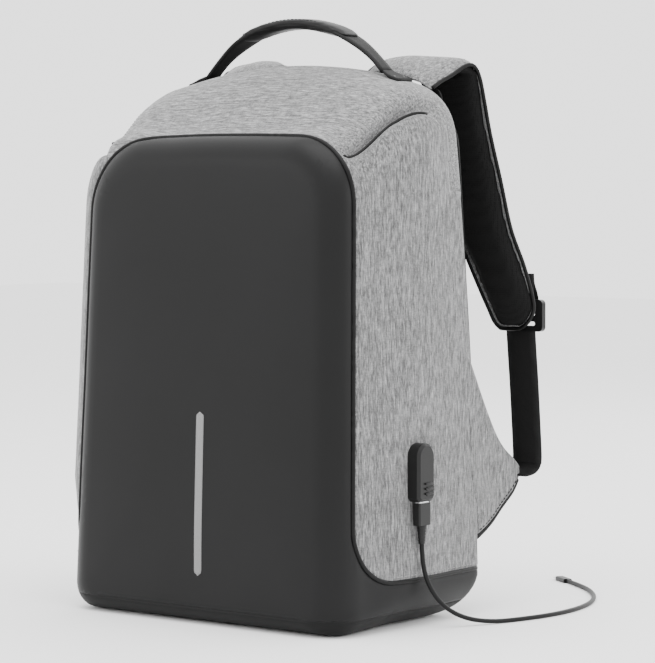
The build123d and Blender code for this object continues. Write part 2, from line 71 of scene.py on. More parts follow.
def setStage():
    eye = bpy.data.cameras.new("camera")
    eye.lens = camera["lens"]
    eye.sensor_width = 36
    eye.clip_end = 50
    eyeObject = bpy.data.objects.new("camera", eye)
    bpy.context.scene.collection.objects.link(eyeObject)
    eyeObject.location = camera["place"]
    eyeObject.rotation_euler = Vector(camera["look"]).to_track_quat("-Z", "Y").to_euler()
    bpy.context.scene.camera = eyeObject
    for name, place, aim, size, power, colour in lamps:
        light = bpy.data.lights.new(name, "AREA")
        light.shape = "RECTANGLE"
        light.size, light.size_y = size
        light.energy = power
        light.color = colour
        lamp = bpy.data.objects.new(name, light)
        bpy.context.scene.collection.objects.link(lamp)
        lamp.location = place
        lamp.rotation_euler = (Vector(aim) - Vector(place)).to_track_quat("-Z", "Y").to_euler()
    world = bpy.data.worlds.new("studio")
    world.use_nodes = True
    world.node_tree.nodes["Background"].inputs["Color"].default_value = (1, 1, 1, 1)
    world.node_tree.nodes["Background"].inputs["Strength"].default_value = 2.3
    bpy.context.scene.world = world
    bm = bmesh.new()
    bmesh.ops.create_grid(bm, x_segments=1, y_segments=1, size=6)
    floor = meshPiece("floor", bm)
    floor.data.materials.append(plainMaterial("floorPaint", (0.92, 0.92, 0.92), 0.8))
    print("stage set")


# small helpers
def meshPiece(name, bm, smooth=True):
    mesh = bpy.data.meshes.new(name)
    bm.to_mesh(mesh)
    bm.free()
    if smooth:
        mesh.polygons.foreach_set("use_smooth", [True] * len(mesh.polygons))
    piece = bpy.data.objects.new(name, mesh)
    bpy.context.scene.collection.objects.link(piece)
    return piece


def finishPiece(piece, body, material, slot, *nodes):
    if material is not None:
        piece.data.materials.clear()
        piece.data.materials.append(material)
    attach(piece, body)
    if nodes:
        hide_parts(*nodes)
    return piece


def addSolidify(piece, thickness, offset=-1.0):
    wall = piece.modifiers.new("wall", "SOLIDIFY")
    wall.thickness = thickness
    wall.offset = offset
    wall.use_even_offset = True
    wall.use_rim = True
    return wall


def addSubdivision(piece, levels=1):
    smooth = piece.modifiers.new("smooth", "SUBSURF")
    smooth.levels = smooth.render_levels = levels
    return smooth


# materials
def newMaterial(name):
    material = bpy.data.materials.new(name)
    material.use_nodes = True
    tree = material.node_tree
    return material, tree, tree.nodes["Principled BSDF"]


def plainMaterial(name, colour, roughness, metallic=0.0):
    material, _, shader = newMaterial(name)
    shader.inputs["Base Color"].default_value = (*colour, 1)
    shader.inputs["Roughness"].default_value = roughness
    shader.inputs["Metallic"].default_value = metallic
    return material


def placedNoise(tree, scale, stretch, detail=3.0, rough=0.6):
    coordinates = tree.nodes.new("ShaderNodeTexCoord")
    mapping = tree.nodes.new("ShaderNodeMapping")
    mapping.inputs["Scale"].default_value = stretch
    texture = tree.nodes.new("ShaderNodeTexNoise")
    texture.inputs["Scale"].default_value = scale
    texture.inputs["Detail"].default_value = detail
    texture.inputs["Roughness"].default_value = rough
    tree.links.new(coordinates.outputs["Object"], mapping.inputs["Vector"])
    tree.links.new(mapping.outputs["Vector"], texture.inputs["Vector"])
    return texture.outputs["Fac"]


def ramp(tree, factor, stops):
    node = tree.nodes.new("ShaderNodeValToRGB")
    for spare in list(node.color_ramp.elements)[1:]:
        node.color_ramp.elements.remove(spare)
    first = node.color_ramp.elements[0]
    first.position, first.color = stops[0][0], (*stops[0][1], 1)
    for position, colour in stops[1:]:
        node.color_ramp.elements.new(position).color = (*colour, 1)
    tree.links.new(factor, node.inputs["Fac"])
    return node.outputs["Color"]


def mixColour(tree, kind, amount, first, second):
    node = tree.nodes.new("ShaderNodeMix")
    node.data_type = "RGBA"
    node.blend_type = kind
    node.inputs[0].default_value = amount
    for value, socket in ((first, node.inputs[6]), (second, node.inputs[7])):
        if isinstance(value, tuple):
            socket.default_value = (*value, 1)
        else:
            tree.links.new(value, socket)
    return node.outputs[2]


def addBump(tree, shader, height, strength, distance):
    bump = tree.nodes.new("ShaderNodeBump")
    bump.inputs["Strength"].default_value = strength
    bump.inputs["Distance"].default_value = distance
    tree.links.new(height, bump.inputs["Height"])
    if shader.inputs["Normal"].is_linked:
        tree.links.new(shader.inputs["Normal"].links[0].from_socket, bump.inputs["Normal"])
    tree.links.new(bump.outputs["Normal"], shader.inputs["Normal"])


# along is the axis the slubs run on
def melangeMaterial(name, along, light):
    material, tree, shader = newMaterial(name)
    slim = {"X": (0.14, 1, 1), "Y": (1, 0.14, 1), "Z": (1, 1, 0.14)}[along]
    cross = {"X": (1, 1, 0.16), "Y": (1, 1, 0.16), "Z": (0.16, 0.16, 1)}[along]
    slubs = placedNoise(tree, 620, slim, 4, 0.8)
    weft = placedNoise(tree, 1100, cross, 2, 0.6)
    flecks = placedNoise(tree, 300, (1, 1, 0.5), 6, 0.85)
    cloudy = placedNoise(tree, 14, (1, 1, 1), 2, 0.5)
    yarns = ramp(tree, slubs, [
        (0.32, (light * 0.22,) * 3), (0.45, (light * 0.66,) * 3),
        (0.54, (light * 1.08,) * 3), (0.68, (min(light * 1.9, 0.95),) * 3),
    ])
    crossing = ramp(tree, weft, [(0.35, (0.70,) * 3), (0.62, (1.0,) * 3)])
    fleckTone = ramp(tree, flecks, [(0.36, (0.42,) * 3), (0.50, (1.06,) * 3)])
    cloudTone = ramp(tree, cloudy, [(0.3, (0.90,) * 3), (0.7, (1.04, 1.04, 1.05))])
    colour = mixColour(tree, "MULTIPLY", 0.75, yarns, crossing)
    colour = mixColour(tree, "MULTIPLY", 0.8, colour, fleckTone)
    colour = mixColour(tree, "MULTIPLY", 0.9, colour, cloudTone)
    tree.links.new(colour, shader.inputs["Base Color"])
    shader.inputs["Roughness"].default_value = 0.92
    shader.inputs["Specular IOR Level"].default_value = 0.2
    shader.inputs["Sheen Weight"].default_value = 0.25
    shader.inputs["Sheen Roughness"].default_value = 0.5
    addBump(tree, shader, slubs, 0.5, 0.0005)
    addBump(tree, shader, weft, 0.4, 0.0004)
    return material


# smooth coated cloth with a very fine grain
def coatedMaterial(name, tone, roughness):
    material, tree, shader = newMaterial(name)
    grain = placedNoise(tree, 2600, (1, 1, 1), 2, 0.5)
    soft = placedNoise(tree, 9, (1, 1, 1), 2, 0.5)
    colour = ramp(tree, soft, [(0.3, (tone * 0.9,) * 3), (0.7, (tone * 1.1, tone * 1.1, tone * 1.14))])
    tree.links.new(colour, shader.inputs["Base Color"])
    gloss = ramp(tree, grain, [(0.3, (roughness - 0.04,) * 3), (0.7, (roughness + 0.05,) * 3)])
    tree.links.new(gloss, shader.inputs["Roughness"])
    shader.inputs["Specular IOR Level"].default_value = 0.16
    addBump(tree, shader, grain, 0.10, 0.0002)
    return material


# open spacer mesh: rows of small holes
def meshClothMaterial(name, tone):
    material, tree, shader = newMaterial(name)
    coordinates = tree.nodes.new("ShaderNodeTexCoord")
    holes = tree.nodes.new("ShaderNodeTexVoronoi")
    holes.inputs["Scale"].default_value = 620
    holes.inputs["Randomness"].default_value = 0.25
    tree.links.new(coordinates.outputs["Object"], holes.inputs["Vector"])
    colour = ramp(tree, holes.outputs["Distance"], [(0.18, (tone * 0.3,) * 3), (0.42, (tone,) * 3)])
    tree.links.new(colour, shader.inputs["Base Color"])
    shader.inputs["Roughness"].default_value = 0.9
    shader.inputs["Specular IOR Level"].default_value = 0.12
    addBump(tree, shader, holes.outputs["Distance"], 0.7, 0.0006)
    return material


# woven nylon: fine ribs across the tape with a cross weave
def webbingMaterial(name, tone, ribs=(0, 0, 1), pitch=0.0016):
    material, tree, shader = newMaterial(name)
    coordinates = tree.nodes.new("ShaderNodeTexCoord")
    mapping = tree.nodes.new("ShaderNodeMapping")
    mapping.inputs["Scale"].default_value = ribs
    wave = tree.nodes.new("ShaderNodeTexWave")
    wave.wave_type, wave.bands_direction = "BANDS", "DIAGONAL"
    wave.inputs["Scale"].default_value = 0.05 / pitch
    wave.inputs["Distortion"].default_value = 0.6
    wave.inputs["Detail"].default_value = 1
    tree.links.new(coordinates.outputs["Object"], mapping.inputs["Vector"])
    tree.links.new(mapping.outputs["Vector"], wave.inputs["Vector"])
    threads = placedNoise(tree, 1500, (1, 1, 1), 2, 0.6)
    colour = ramp(tree, threads, [(0.35, (tone * 0.6,) * 3), (0.65, (tone * 1.5,) * 3)])
    tree.links.new(colour, shader.inputs["Base Color"])
    shader.inputs["Roughness"].default_value = 0.62
    shader.inputs["Specular IOR Level"].default_value = 0.16
    addBump(tree, shader, wave.outputs["Fac"], 0.6, 0.0005)
    addBump(tree, shader, threads, 0.3, 0.0003)
    return material


# moulded plastic with a fine spark-eroded grain
def plasticMaterial(name, tone, roughness):
    material, tree, shader = newMaterial(name)
    grain = placedNoise(tree, 3200, (1, 1, 1), 3, 0.6)
    shade = placedNoise(tree, 60, (1, 1, 1), 2, 0.5)
    colour = ramp(tree, shade, [(0.3, (tone * 0.92,) * 3), (0.7, (tone * 1.1,) * 3)])
    tree.links.new(colour, shader.inputs["Base Color"])
    gloss = ramp(tree, shade, [(0.3, (roughness,) * 3), (0.7, (roughness + 0.08,) * 3)])
    tree.links.new(gloss, shader.inputs["Roughness"])
    shader.inputs["Specular IOR Level"].default_value = 0.22
    addBump(tree, shader, grain, 0.12, 0.0002)
    return material


def metalMaterial(name, tone, roughness):
    material, tree, shader = newMaterial(name)
    brushed = placedNoise(tree, 1400, (1, 1, 0.1), 2, 0.5)
    gloss = ramp(tree, brushed, [(0.3, (roughness,) * 3), (0.7, (roughness + 0.12,) * 3)])
    tree.links.new(gloss, shader.inputs["Roughness"])
    shader.inputs["Base Color"].default_value = (tone, tone, tone * 1.01, 1)
    shader.inputs["Metallic"].default_value = 1
    return material


# retro-reflective tape: fine glass beads
def tapeMaterial(name, tone):
    material, tree, shader = newMaterial(name)
    beads = placedNoise(tree, 1800, (1, 1, 1), 2, 0.7)
    colour = ramp(tree, beads, [(0.35, (tone * 0.86,) * 3), (0.65, (tone * 1.1,) * 3)])
    tree.links.new(colour, shader.inputs["Base Color"])
    shader.inputs["Roughness"].default_value = 0.45
    addBump(tree, shader, beads, 0.15, 0.0002)
    return material


# one grey melange cloth in three copies: the top's and the straps' copies are made lighter than the side's,
# painted light where more light falls on them
sideMelange = melangeMaterial("sideMelange", "Z", 0.165)
topMelangePaintedLight = melangeMaterial("topMelangePaintedLight", "X", 0.2)
strapMelangePaintedLight = melangeMaterial("strapMelangePaintedLight", "Y", 0.185)
frontCoat = coatedMaterial("frontCoat", 0.0045, 0.40)
baseCoat = coatedMaterial("baseCoat", 0.002, 0.5)
pipingCoat = coatedMaterial("pipingCoat", 0.002, 0.4)
meshCloth = meshClothMaterial("meshCloth", 0.008)
webbingCloth = webbingMaterial("webbingCloth", 0.006, (1, 1, 1))
handleCloth = webbingMaterial("handleCloth", 0.006, (1, 0, 0))
liningCloth = melangeMaterial("liningCloth", "Z", 0.025)
blackPlastic = plasticMaterial("blackPlastic", 0.006, 0.3)
softPlastic = plasticMaterial("softPlastic", 0.006, 0.42)
whitePlastic = plasticMaterial("whitePlastic", 0.7, 0.4)
boardPlastic = plasticMaterial("boardPlastic", 0.02, 0.5)
nickel = metalMaterial("nickel", 0.72, 0.22)
gunmetal = metalMaterial("gunmetal", 0.10, 0.35)
reflectiveTape = tapeMaterial("reflectiveTape", 0.16)
cableJacket = coatedMaterial("cableJacket", 0.004, 0.42)

# the bag's form
bag = dict(
    frontY=corner("base_panel", 0).y, lean=math.tan(math.radians(2.19)), round=28 * mm,
    footLift=14 * mm, bellyY=-2 * mm, ridgeY=33 * mm, endY=126 * mm, frontBulge=2.5 * mm,
    rearRound=7 * mm, cutsAcross=58, cutsUp=86, cutsRound=8, cutsDeep=34, cutsRear=4,
)
# half width low and high, height, crown rise, top corner, floor, foot corner
stations = [
    (0.150, 0.1395, 0.401, 0.004, 0.058, 0.0, 0.022),
    (0.157, 0.148, 0.440, 0.017, 0.054, 0.0, 0.040),
    (0.156, 0.151, 0.459, 0.029, 0.046, 0.0, 0.040),
    (0.151, 0.149, 0.455, 0.029, 0.046, 0.0, 0.040),
]
seam = dict(
    back=20 * mm, bootHeight=40 * mm, bootCorner=45 * mm, baseHeight=14 * mm,
    topHalf=120 * mm, topLow=352 * mm, hingeZ=62 * mm, lowerHalf=138 * mm,
    topSlant=0.26, topFrom=-64 * mm, leftForward=11 * mm, leftFrom=0.06, leftBlend=0.07,
)
rearArc = [(0.096, 0.046), (0.081, 0.265), (0.055, 0.470)]


def circleThrough(a, b, c):
    d = 2 * (a[0] * (b[1] - c[1]) + b[0] * (c[1] - a[1]) + c[0] * (a[1] - b[1]))
    s = [p[0] ** 2 + p[1] ** 2 for p in (a, b, c)]
    u = (s[0] * (b[1] - c[1]) + s[1] * (c[1] - a[1]) + s[2] * (a[1] - b[1])) / d
    v = (s[0] * (c[0] - b[0]) + s[1] * (a[0] - c[0]) + s[2] * (b[0] - a[0])) / d
    return u, v, math.hypot(a[0] - u, a[1] - v)


rearCircle = circleThrough(*rearArc)
heelCircle = circleThrough((0.096, 0.046), (0.088, 0.013), (0.064, 0.0))


# the seam between shell and back, with the rounded heel below it
def rearY(z):
    if z < rearArc[0][1]:
        u, v, r = heelCircle
        return u + math.sqrt(max(r * r - (z - v) ** 2, 0))
    u, v, r = rearCircle
    return u + math.sqrt(r * r - (z - v) ** 2)


def frontY(z):
    return bag["frontY"] + z * bag["lean"]


# sizes at a place from 0, the shoulder, to 3, behind the seam: a smooth curve through the stations
def stationAt(place):
    place = min(max(place, 0.0), 2.999)
    i = int(place)
    t = place - i
    rows = [stations[min(max(k, 0), 3)] for k in (i - 1, i, i + 1, i + 2)]
    sizes = []
    for p0, p1, p2, p3 in zip(*rows):
        m1, m2 = (p2 - p0) / 2, (p3 - p1) / 2
        h = t * t * (3 - 2 * t)
        sizes.append(
            p1 + h * (p2 - p1) + (t - 2 * t * t + t**3) * m1 + (t**3 - t * t) * m2
        )
    return sizes


# the point of a cross-section that a point on the square's edge goes to
def outlinePoint(sizes, inset, lift, across, up):
    low, high, height, crown, top, floor, foot = sizes
    low, high, height, floor = low - inset, high - inset, height - inset, floor + lift
    top, foot = top - inset / 2, max(foot - inset / 3, 0.006)
    side = abs(across)
    sx, sz = high - low, height - crown - floor
    length = math.hypot(sx, sz)
    nx, nz = sz / length, -sx / length  # outward normal of the right side
    radius = (high * high + crown * crown) / (2 * crown)
    centreZ = height - radius
    # corner arc: touches the side line and the crown's circle from inside
    a, b = nx, nz
    c = nx * low + nz * floor - top
    reach = radius - top
    # points with a x + b z = c at a distance reach from the crown's centre
    k = c - b * centreZ
    t = math.sqrt(max(reach * reach - k * k, 0))
    cornerX, cornerZ = a * k - b * t, centreZ + b * k + a * t
    footX, footZ = (nx * low + nz * floor - foot - nz * (floor + foot)) / nx, floor + foot
    cornerStart = math.atan2(nz, nx)
    cornerEnd = math.atan2(cornerZ - centreZ, cornerX)
    midCorner = (cornerStart + cornerEnd) / 2
    midFoot = (cornerStart - math.pi / 2) / 2
    if side >= abs(up) - 1e-9:  # on the sides
        arcFoot, arcTop = foot * (cornerStart - midFoot), top * (midCorner - cornerStart)
        startX, startZ = footX + foot * nx, footZ + foot * nz
        endX, endZ = cornerX + top * nx, cornerZ + top * nz
        straight = math.hypot(endX - startX, endZ - startZ)
        walk = (up + 1) / 2 * (arcFoot + straight + arcTop)
        if walk < arcFoot:
            angle = midFoot + walk / foot
            x, z = footX + foot * math.cos(angle), footZ + foot * math.sin(angle)
        elif walk < arcFoot + straight:
            part = (walk - arcFoot) / straight
            x, z = startX + part * (endX - startX), startZ + part * (endZ - startZ)
        else:
            angle = cornerStart + (walk - arcFoot - straight) / top
            x, z = cornerX + top * math.cos(angle), cornerZ + top * math.sin(angle)
        return math.copysign(x, across), z
    if up > 0:  # over the top
        arcCrown, arcTop = radius * (math.pi / 2 - cornerEnd), top * (cornerEnd - midCorner)
        walk = side * (arcCrown + arcTop)
        if walk < arcCrown:
            angle = math.pi / 2 - walk / radius
            return math.copysign(radius * math.cos(angle), across), centreZ + radius * math.sin(angle)
        angle = cornerEnd - (walk - arcCrown) / top
        return math.copysign(cornerX + top * math.cos(angle), across), cornerZ + top * math.sin(angle)
    arcFoot = foot * (midFoot + math.pi / 2)  # under the base
    walk = side * (footX + arcFoot)
    if walk < footX:
        return math.copysign(walk, across), floor
    angle = -math.pi / 2 + (walk - footX) / foot
    return math.copysign(footX + foot * math.cos(angle), across), footZ + foot * math.sin(angle)


# a point of the lattice cube, row 0 front face to 3 back face, pulled onto the bag's form
def formPoint(across, row, up, inset=0.0):
    k = max(abs(across), abs(up), 1e-6)
    edgeA, edgeU = across / k, up / k
    x, z = 0.0, 0.23 + 0.23 * up
    for _ in range(3):
        shoulder = frontY(z) + bag["round"]
        rear = rearY(max(z, 0.0)) - inset
        if row <= 1:
            angle = row * math.pi / 2
            y = frontY(z) + inset + (bag["round"] - inset) * (1 - math.cos(angle))
            pull = (bag["round"] - inset) * (1 - math.sin(angle)) + inset
            lift = bag["footLift"] * (1 - math.sin(angle)) + inset
            sizes = stationAt(0)
        else:
            main = rear - bag["rearRound"]
            if row <= 2:
                y = shoulder + (row - 1) * (main - shoulder)
                pull = inset
            else:
                angle = (row - 2) * math.pi / 2
                y = main + bag["rearRound"] * math.sin(angle)
                pull = inset + bag["rearRound"] * 0.6 * (1 - math.cos(angle))
            lift = pull
            if y < bag["bellyY"]:
                place = (y - shoulder) / (bag["bellyY"] - shoulder)
            elif y < bag["ridgeY"]:
                place = 1 + (y - bag["bellyY"]) / (bag["ridgeY"] - bag["bellyY"])
            else:
                place = 2 + (y - bag["ridgeY"]) / (bag["endY"] - bag["ridgeY"])
            sizes = stationAt(place)
        px, pz = outlinePoint(sizes, pull, lift, edgeA, edgeU)
        middle = (sizes[2] + sizes[5]) / 2
        x, z = k * px, middle + k * (pz - middle)
    if row <= 0:
        y = frontY(z) + inset - bag["frontBulge"] * (1 - k**4) * (1 - inset / bag["round"])
    elif row >= 3:
        y = rearY(max(z, 0.0)) - inset
    return Vector((x, y, z))


# the front seam sits further forward on the left than on the right
def leftShift(x):
    t = min(max((-x - seam["leftFrom"]) / seam["leftBlend"], 0), 1)
    return seam["leftForward"] * t * t * (3 - 2 * t)


# how far outside the seam between top and side a place is
def besideTop(c):
    return abs(c.x) - seam["topSlant"] * (c.y - seam["topFrom"]) - seam["topHalf"]


# a cube from -1 to 1 across and up and 0 to 3 deep, cut into rows
def latticeCube():
    bm = bmesh.new()
    bmesh.ops.create_cube(bm, size=2)
    for v in bm.verts:
        v.co.y = (v.co.y + 1) * 1.5
    rows = [("x", -1, 1, bag["cutsAcross"]), ("z", -1, 1, bag["cutsUp"]), ("y", 0, 1, bag["cutsRound"]),
            ("y", 1, 2, bag["cutsDeep"]), ("y", 2, 3, bag["cutsRear"])]
    normals = dict(x=(1, 0, 0), y=(0, 1, 0), z=(0, 0, 1))
    for axis, start, end, count in rows:
        steps = range(1, count + 1) if end < 3 and axis == "y" else range(1, count)
        for step in steps:
            place = Vector(normals[axis]) * (start + (end - start) * step / count)
            bmesh.ops.bisect_plane(
                bm, geom=bm.verts[:] + bm.edges[:] + bm.faces[:], dist=1e-6,
                plane_co=place, plane_no=normals[axis],
            )
    return bm


# planes whose inner side is the cloth behind the front seam and above the boot
def regionPlanes(shift=0.0):
    slope = math.atan(bag["lean"])
    forward = Vector((0, math.cos(slope), -math.sin(slope)))
    r = seam["bootCorner"]
    centreZ = seam["bootHeight"] + r
    centreY = bag["frontY"] + seam["back"] + centreZ * bag["lean"] + r / math.cos(slope)
    planes = [
        (Vector((0, bag["frontY"] + seam["back"], 0)) + forward * shift, forward),
        (Vector((0, 0, seam["bootHeight"] + shift)), Vector((0, 0, 1))),
    ]
    for step in range(1, 10):
        angle = math.pi - slope + (math.pi / 2 + slope) * step / 10
        way = Vector((0, math.cos(angle), math.sin(angle)))
        planes.append((Vector((0, centreY, centreZ)) + way * (r - shift), -way))
    return planes


def rawDepth(point, planes):
    return min((point - place).dot(normal) for place, normal in planes)


def depthInRegion(point, planes):
    return rawDepth(Vector((point.x, point.y + leftShift(point.x), point.z)), planes)


# cuts the faces that pass the test, and no others
def cutNear(bm, place, normal, test):
    faces = [f for f in bm.faces if test(f.calc_center_median())]
    edges = {e for f in faces for e in f.edges}
    verts = {v for f in faces for v in f.verts}
    bmesh.ops.bisect_plane(
        bm, geom=list(verts) + list(edges) + faces, dist=1e-5, plane_co=place, plane_no=normal,
    )


def makeForm():
    bm = latticeCube()
    for v in bm.verts:
        v.co = formPoint(v.co.x, v.co.y, v.co.z)
    bmesh.ops.recalc_face_normals(bm, faces=bm.faces[:])
    region = regionPlanes()
    reach = 9 * mm
    for v in bm.verts:
        v.co.y += leftShift(v.co.x)
    for place, normal in region:
        cutNear(bm, place, normal, lambda c: abs(rawDepth(c, region)) < reach)
    for offset in (-4 * mm, -1.6 * mm, 1.6 * mm, 4 * mm):
        shifted = regionPlanes(offset)
        for place, normal in shifted[:2]:
            cutNear(bm, place, normal, lambda c: abs(rawDepth(c, region)) < reach)
    for v in bm.verts:
        v.co.y -= leftShift(v.co.x)
    for sign in (-1, 1):
        for offset in (-5, -2, 0, 2, 5):
            cutNear(
                bm, Vector((sign * (seam["topHalf"] + offset * mm), seam["topFrom"], 0)),
                Vector((sign, -seam["topSlant"], 0)).normalized(),
                lambda c: c.z > seam["topLow"] and c.x * sign > 0 and abs(besideTop(c)) < reach,
            )
        cutNear(bm, Vector((sign * seam["lowerHalf"], 0, 0)), Vector((1, 0, 0)),
                lambda c: c.z < 80 * mm and c.y > 80 * mm)
    for height in (seam["baseHeight"], seam["hingeZ"]):
        cutNear(bm, Vector((0, 0, height)), Vector((0, 0, 1)), lambda c: abs(c.z - height) < reach)
    return bm


setStage()
form = makeForm()
form.normal_update()
region = regionPlanes()
print("form made:", len(form.faces), "faces")

# the cloth gives a little everywhere, is drawn in along its seams and is fuller on the left
cloth = dict(
    frontDip=1.0 * mm, topDip=1.5 * mm, puff=0.8 * mm, width=2.6 * mm, ripple=0.9 * mm,
    pleatDip=7.5 * mm, pleatFrom=-64 * mm, pleatTo=42 * mm, puffLeft=8 * mm, puffRight=1.5 * mm,
    wall=3.4 * mm,
)


def bell(distance, width):
    return math.exp(-(distance / width) ** 2)


def workCloth(bm):
    moves = []
    for v in bm.verts:
        c = v.co
        depth = depthInRegion(c, region)
        move = -cloth["frontDip"] * bell(depth, cloth["width"])
        if c.z > seam["topLow"] and depth > 0:
            gap = abs(besideTop(c))
            clear = min(max(depth - 2 * mm, 0) / (7 * mm), 1)
            move -= cloth["topDip"] * bell(gap, cloth["width"]) * clear
            move += cloth["puff"] * bell(gap - 9 * mm, 6 * mm)
            if cloth["pleatFrom"] < c.y < cloth["pleatTo"]:
                part = (c.y - cloth["pleatFrom"]) / (cloth["pleatTo"] - cloth["pleatFrom"])
                move -= cloth["pleatDip"] * math.sin(part * math.pi) ** 0.6 * bell(gap, 3.2 * mm) * clear
        if depth > 0 and c.z > 60 * mm and abs(c.x) > 60 * mm:
            full = cloth["puffLeft"] if c.x < 0 else cloth["puffRight"]
            edge = min(depth / (9 * mm), 1)
            fade = min((c.z - 60 * mm) / (50 * mm), 1) * min((abs(c.x) - 60 * mm) / (60 * mm), 1)
            move += full * edge * bell(max(depth - 12 * mm, 0), 60 * mm) * fade
        soft = min(max(depth, 0) / 0.03, 1)
        if c.y < rearY(max(c.z, 0)) - 4 * mm:
            waves = noise.noise(c * 17) * 0.7 + noise.noise(c * 41 + Vector((3, 1, 7))) * 0.3
            move += cloth["ripple"] * waves * (0.35 + 0.65 * soft)
        if c.z < 20 * mm:
            move *= max((c.z - 2 * mm) / (18 * mm), 0)
        moves.append((v, v.normal.copy() * move))
    for v, move in moves:
        v.co += move


workCloth(form)
form.normal_update()
formTree = BVHTree.FromBMesh(form)


# the place and outward normal where a line from outside meets the bag
def onForm(x, z, way=(0, 1, 0)):
    way = Vector(way)
    place, normal, _, _ = formTree.ray_cast(Vector((x, 0, z)) * Vector((1, 0, 1)) - way, way)
    return place, normal


def topAt(x, y):
    place, normal, _, _ = formTree.ray_cast(Vector((x, y, 1)), Vector((0, 0, -1)))
    return place, normal


def sideAt(hand, y, z):
    place, normal, _, _ = formTree.ray_cast(Vector((hand, y, z)), Vector((-hand, 0, 0)))
    return place, normal


rim = dict(middle=0.235, inset=5 * mm, sideSteps=90, topSteps=60)


# round the border of the back opening, up the left, over the top and down the right
def rimPoints(inset, offset):
    sides, tops = rim["sideSteps"], rim["topSteps"]
    places = [(-1, -1 + 2 * i / sides) for i in range(sides + 1)]
    places += [(-1 + 2 * i / tops, 1) for i in range(1, tops + 1)]
    places += [(1, 1 - 2 * i / sides) for i in range(1, sides + 1)]
    run = []
    for across, up in places:
        p = formPoint(across, 3, up, 0)
        reach = p - Vector((0, p.y, rim["middle"]))
        p = p - reach * (inset / reach.length)
        p.y = rearY(p.z) + offset
        run.append(p)
    return run


rimRun = rimPoints(rim["inset"], 0)
rimTree = KDTree(len(rimRun))
for number, place in enumerate(rimRun):
    rimTree.insert((place.x, 0, place.z), number)
rimTree.balance()


def onRim(c):
    return rimTree.find((c.x, 0, c.z))[0]


def insideRim(c):
    at = onRim(c)
    return math.hypot(c.x, c.z - rim["middle"]) < math.hypot(at.x, at.z - rim["middle"])


def whichPanel(c):
    if c.z < seam["baseHeight"]:
        return "base"
    if depthInRegion(c, region) < 0:
        return "front"
    backFace = c.y > rearY(max(c.z, 0)) - 1.5 * mm
    if c.z > seam["hingeZ"] and c.y > rearY(c.z) - 8 * mm and insideRim(c):
        return "open"
    if backFace and c.z < seam["hingeZ"] and abs(c.x) < seam["lowerHalf"]:
        return "lowerBack"
    if besideTop(c) < 0 and c.z > seam["topLow"]:
        return "top"
    return "left" if c.x < 0 else "right"


panelKeys = ("base", "front", "top", "left", "right", "lowerBack", "open")
openNumber = panelKeys.index("open")
panelNumber = form.faces.layers.int.new("panel")
for f in form.faces:
    f[panelNumber] = panelKeys.index(whichPanel(f.calc_center_median()))
for v in form.verts:  # the opening's edge is drawn onto its seam
    if v.co.z > seam["hingeZ"] + 1 * mm and len({f[panelNumber] == openNumber for f in v.link_faces}) == 2:
        at = onRim(v.co)
        v.co = (at.x, rearY(at.z) + 0.2 * mm, at.z)

for key, name, material, slot, node in (
    ("base", "basePanel", baseCoat, "black_pu", "base_panel"),
    ("front", "frontPanel", frontCoat, "black_pu", "front_panel"),
    ("top", "topPanel", topMelangePaintedLight, "grey_melange", "top_panel"),
    ("left", "sidePanelLeft", sideMelange, "grey_melange", "side_panel_left"),
    ("right", "sidePanelRight", sideMelange, "grey_melange", "side_panel_right"),
    ("lowerBack", "lowerBackPanel", meshCloth, "back_mesh", "lower_back_panel"),
):
    bm = form.copy()
    number = bm.faces.layers.int["panel"]
    others = [f for f in bm.faces if f[number] != panelKeys.index(key)]
    bmesh.ops.delete(bm, geom=others, context="FACES")
    piece = meshPiece(name, bm)
    addSolidify(piece, cloth["wall"])
    finishPiece(piece, "shell", material, slot, node)
print("shell panels made")


# a soft curve through rows of numbers, steps to each run
def smoothRun(points, steps, closed=False):
    rows = [list(p) for p in points]
    count = len(rows)
    result = []
    for i in range(count if closed else count - 1):
        around = [rows[(i + k) % count] if closed else rows[min(max(i + k, 0), count - 1)]
                  for k in (-1, 0, 1, 2)]
        for step in range(steps):
            t = step / steps
            result.append([
                0.5 * (2 * b + (c - a) * t + (2 * a - 5 * b + 4 * c - d) * t * t
                       + (3 * b - a - 3 * c + d) * t**3)
                for a, b, c, d in zip(*around)
            ])
    if not closed:
        result.append(rows[-1])
    return result


# rings of points joined by extruding the first ring from place to place
def sweep(rings, closed=False, caps=True, openRing=False):
    bm = bmesh.new()
    number = bm.verts.layers.int.new("number")
    first = []
    for i, place in enumerate(rings[0]):
        v = bm.verts.new(place)
        v[number] = i
        first.append(v)
    edges = [bm.edges.new((first[i], first[(i + 1) % len(first)]))
             for i in range(len(first) - (1 if openRing else 0))]
    firstEdges = edges
    if caps and not closed and not openRing:
        bm.faces.new(first)
    for ring in rings[1:]:
        made = bmesh.ops.extrude_edge_only(bm, edges=edges)["geom"]
        for v in made:
            if isinstance(v, bmesh.types.BMVert):
                v.co = ring[v[number]]
        edges = [e for e in made if isinstance(e, bmesh.types.BMEdge)
                 and (abs(e.verts[0][number] - e.verts[1][number]) in (1, len(first) - 1))
                 and all(v in made for v in e.verts)]
    if closed:
        bmesh.ops.bridge_loops(bm, edges=firstEdges + edges)
    elif caps and not openRing:
        bmesh.ops.edgeloop_fill(bm, edges=edges)
    bmesh.ops.recalc_face_normals(bm, faces=bm.faces[:])
    return bm


# points round an ellipse, squarer with a greater power
def roundRing(count, wide, high, power=2.0):
    ring = []
    for i in range(count):
        a = 2 * math.pi * (i + 0.5) / count
        c, s = math.cos(a), math.sin(a)
        ring.append((math.copysign(abs(c) ** (2 / power), c) * wide / 2,
                     math.copysign(abs(s) ** (2 / power), s) * high / 2))
    return ring


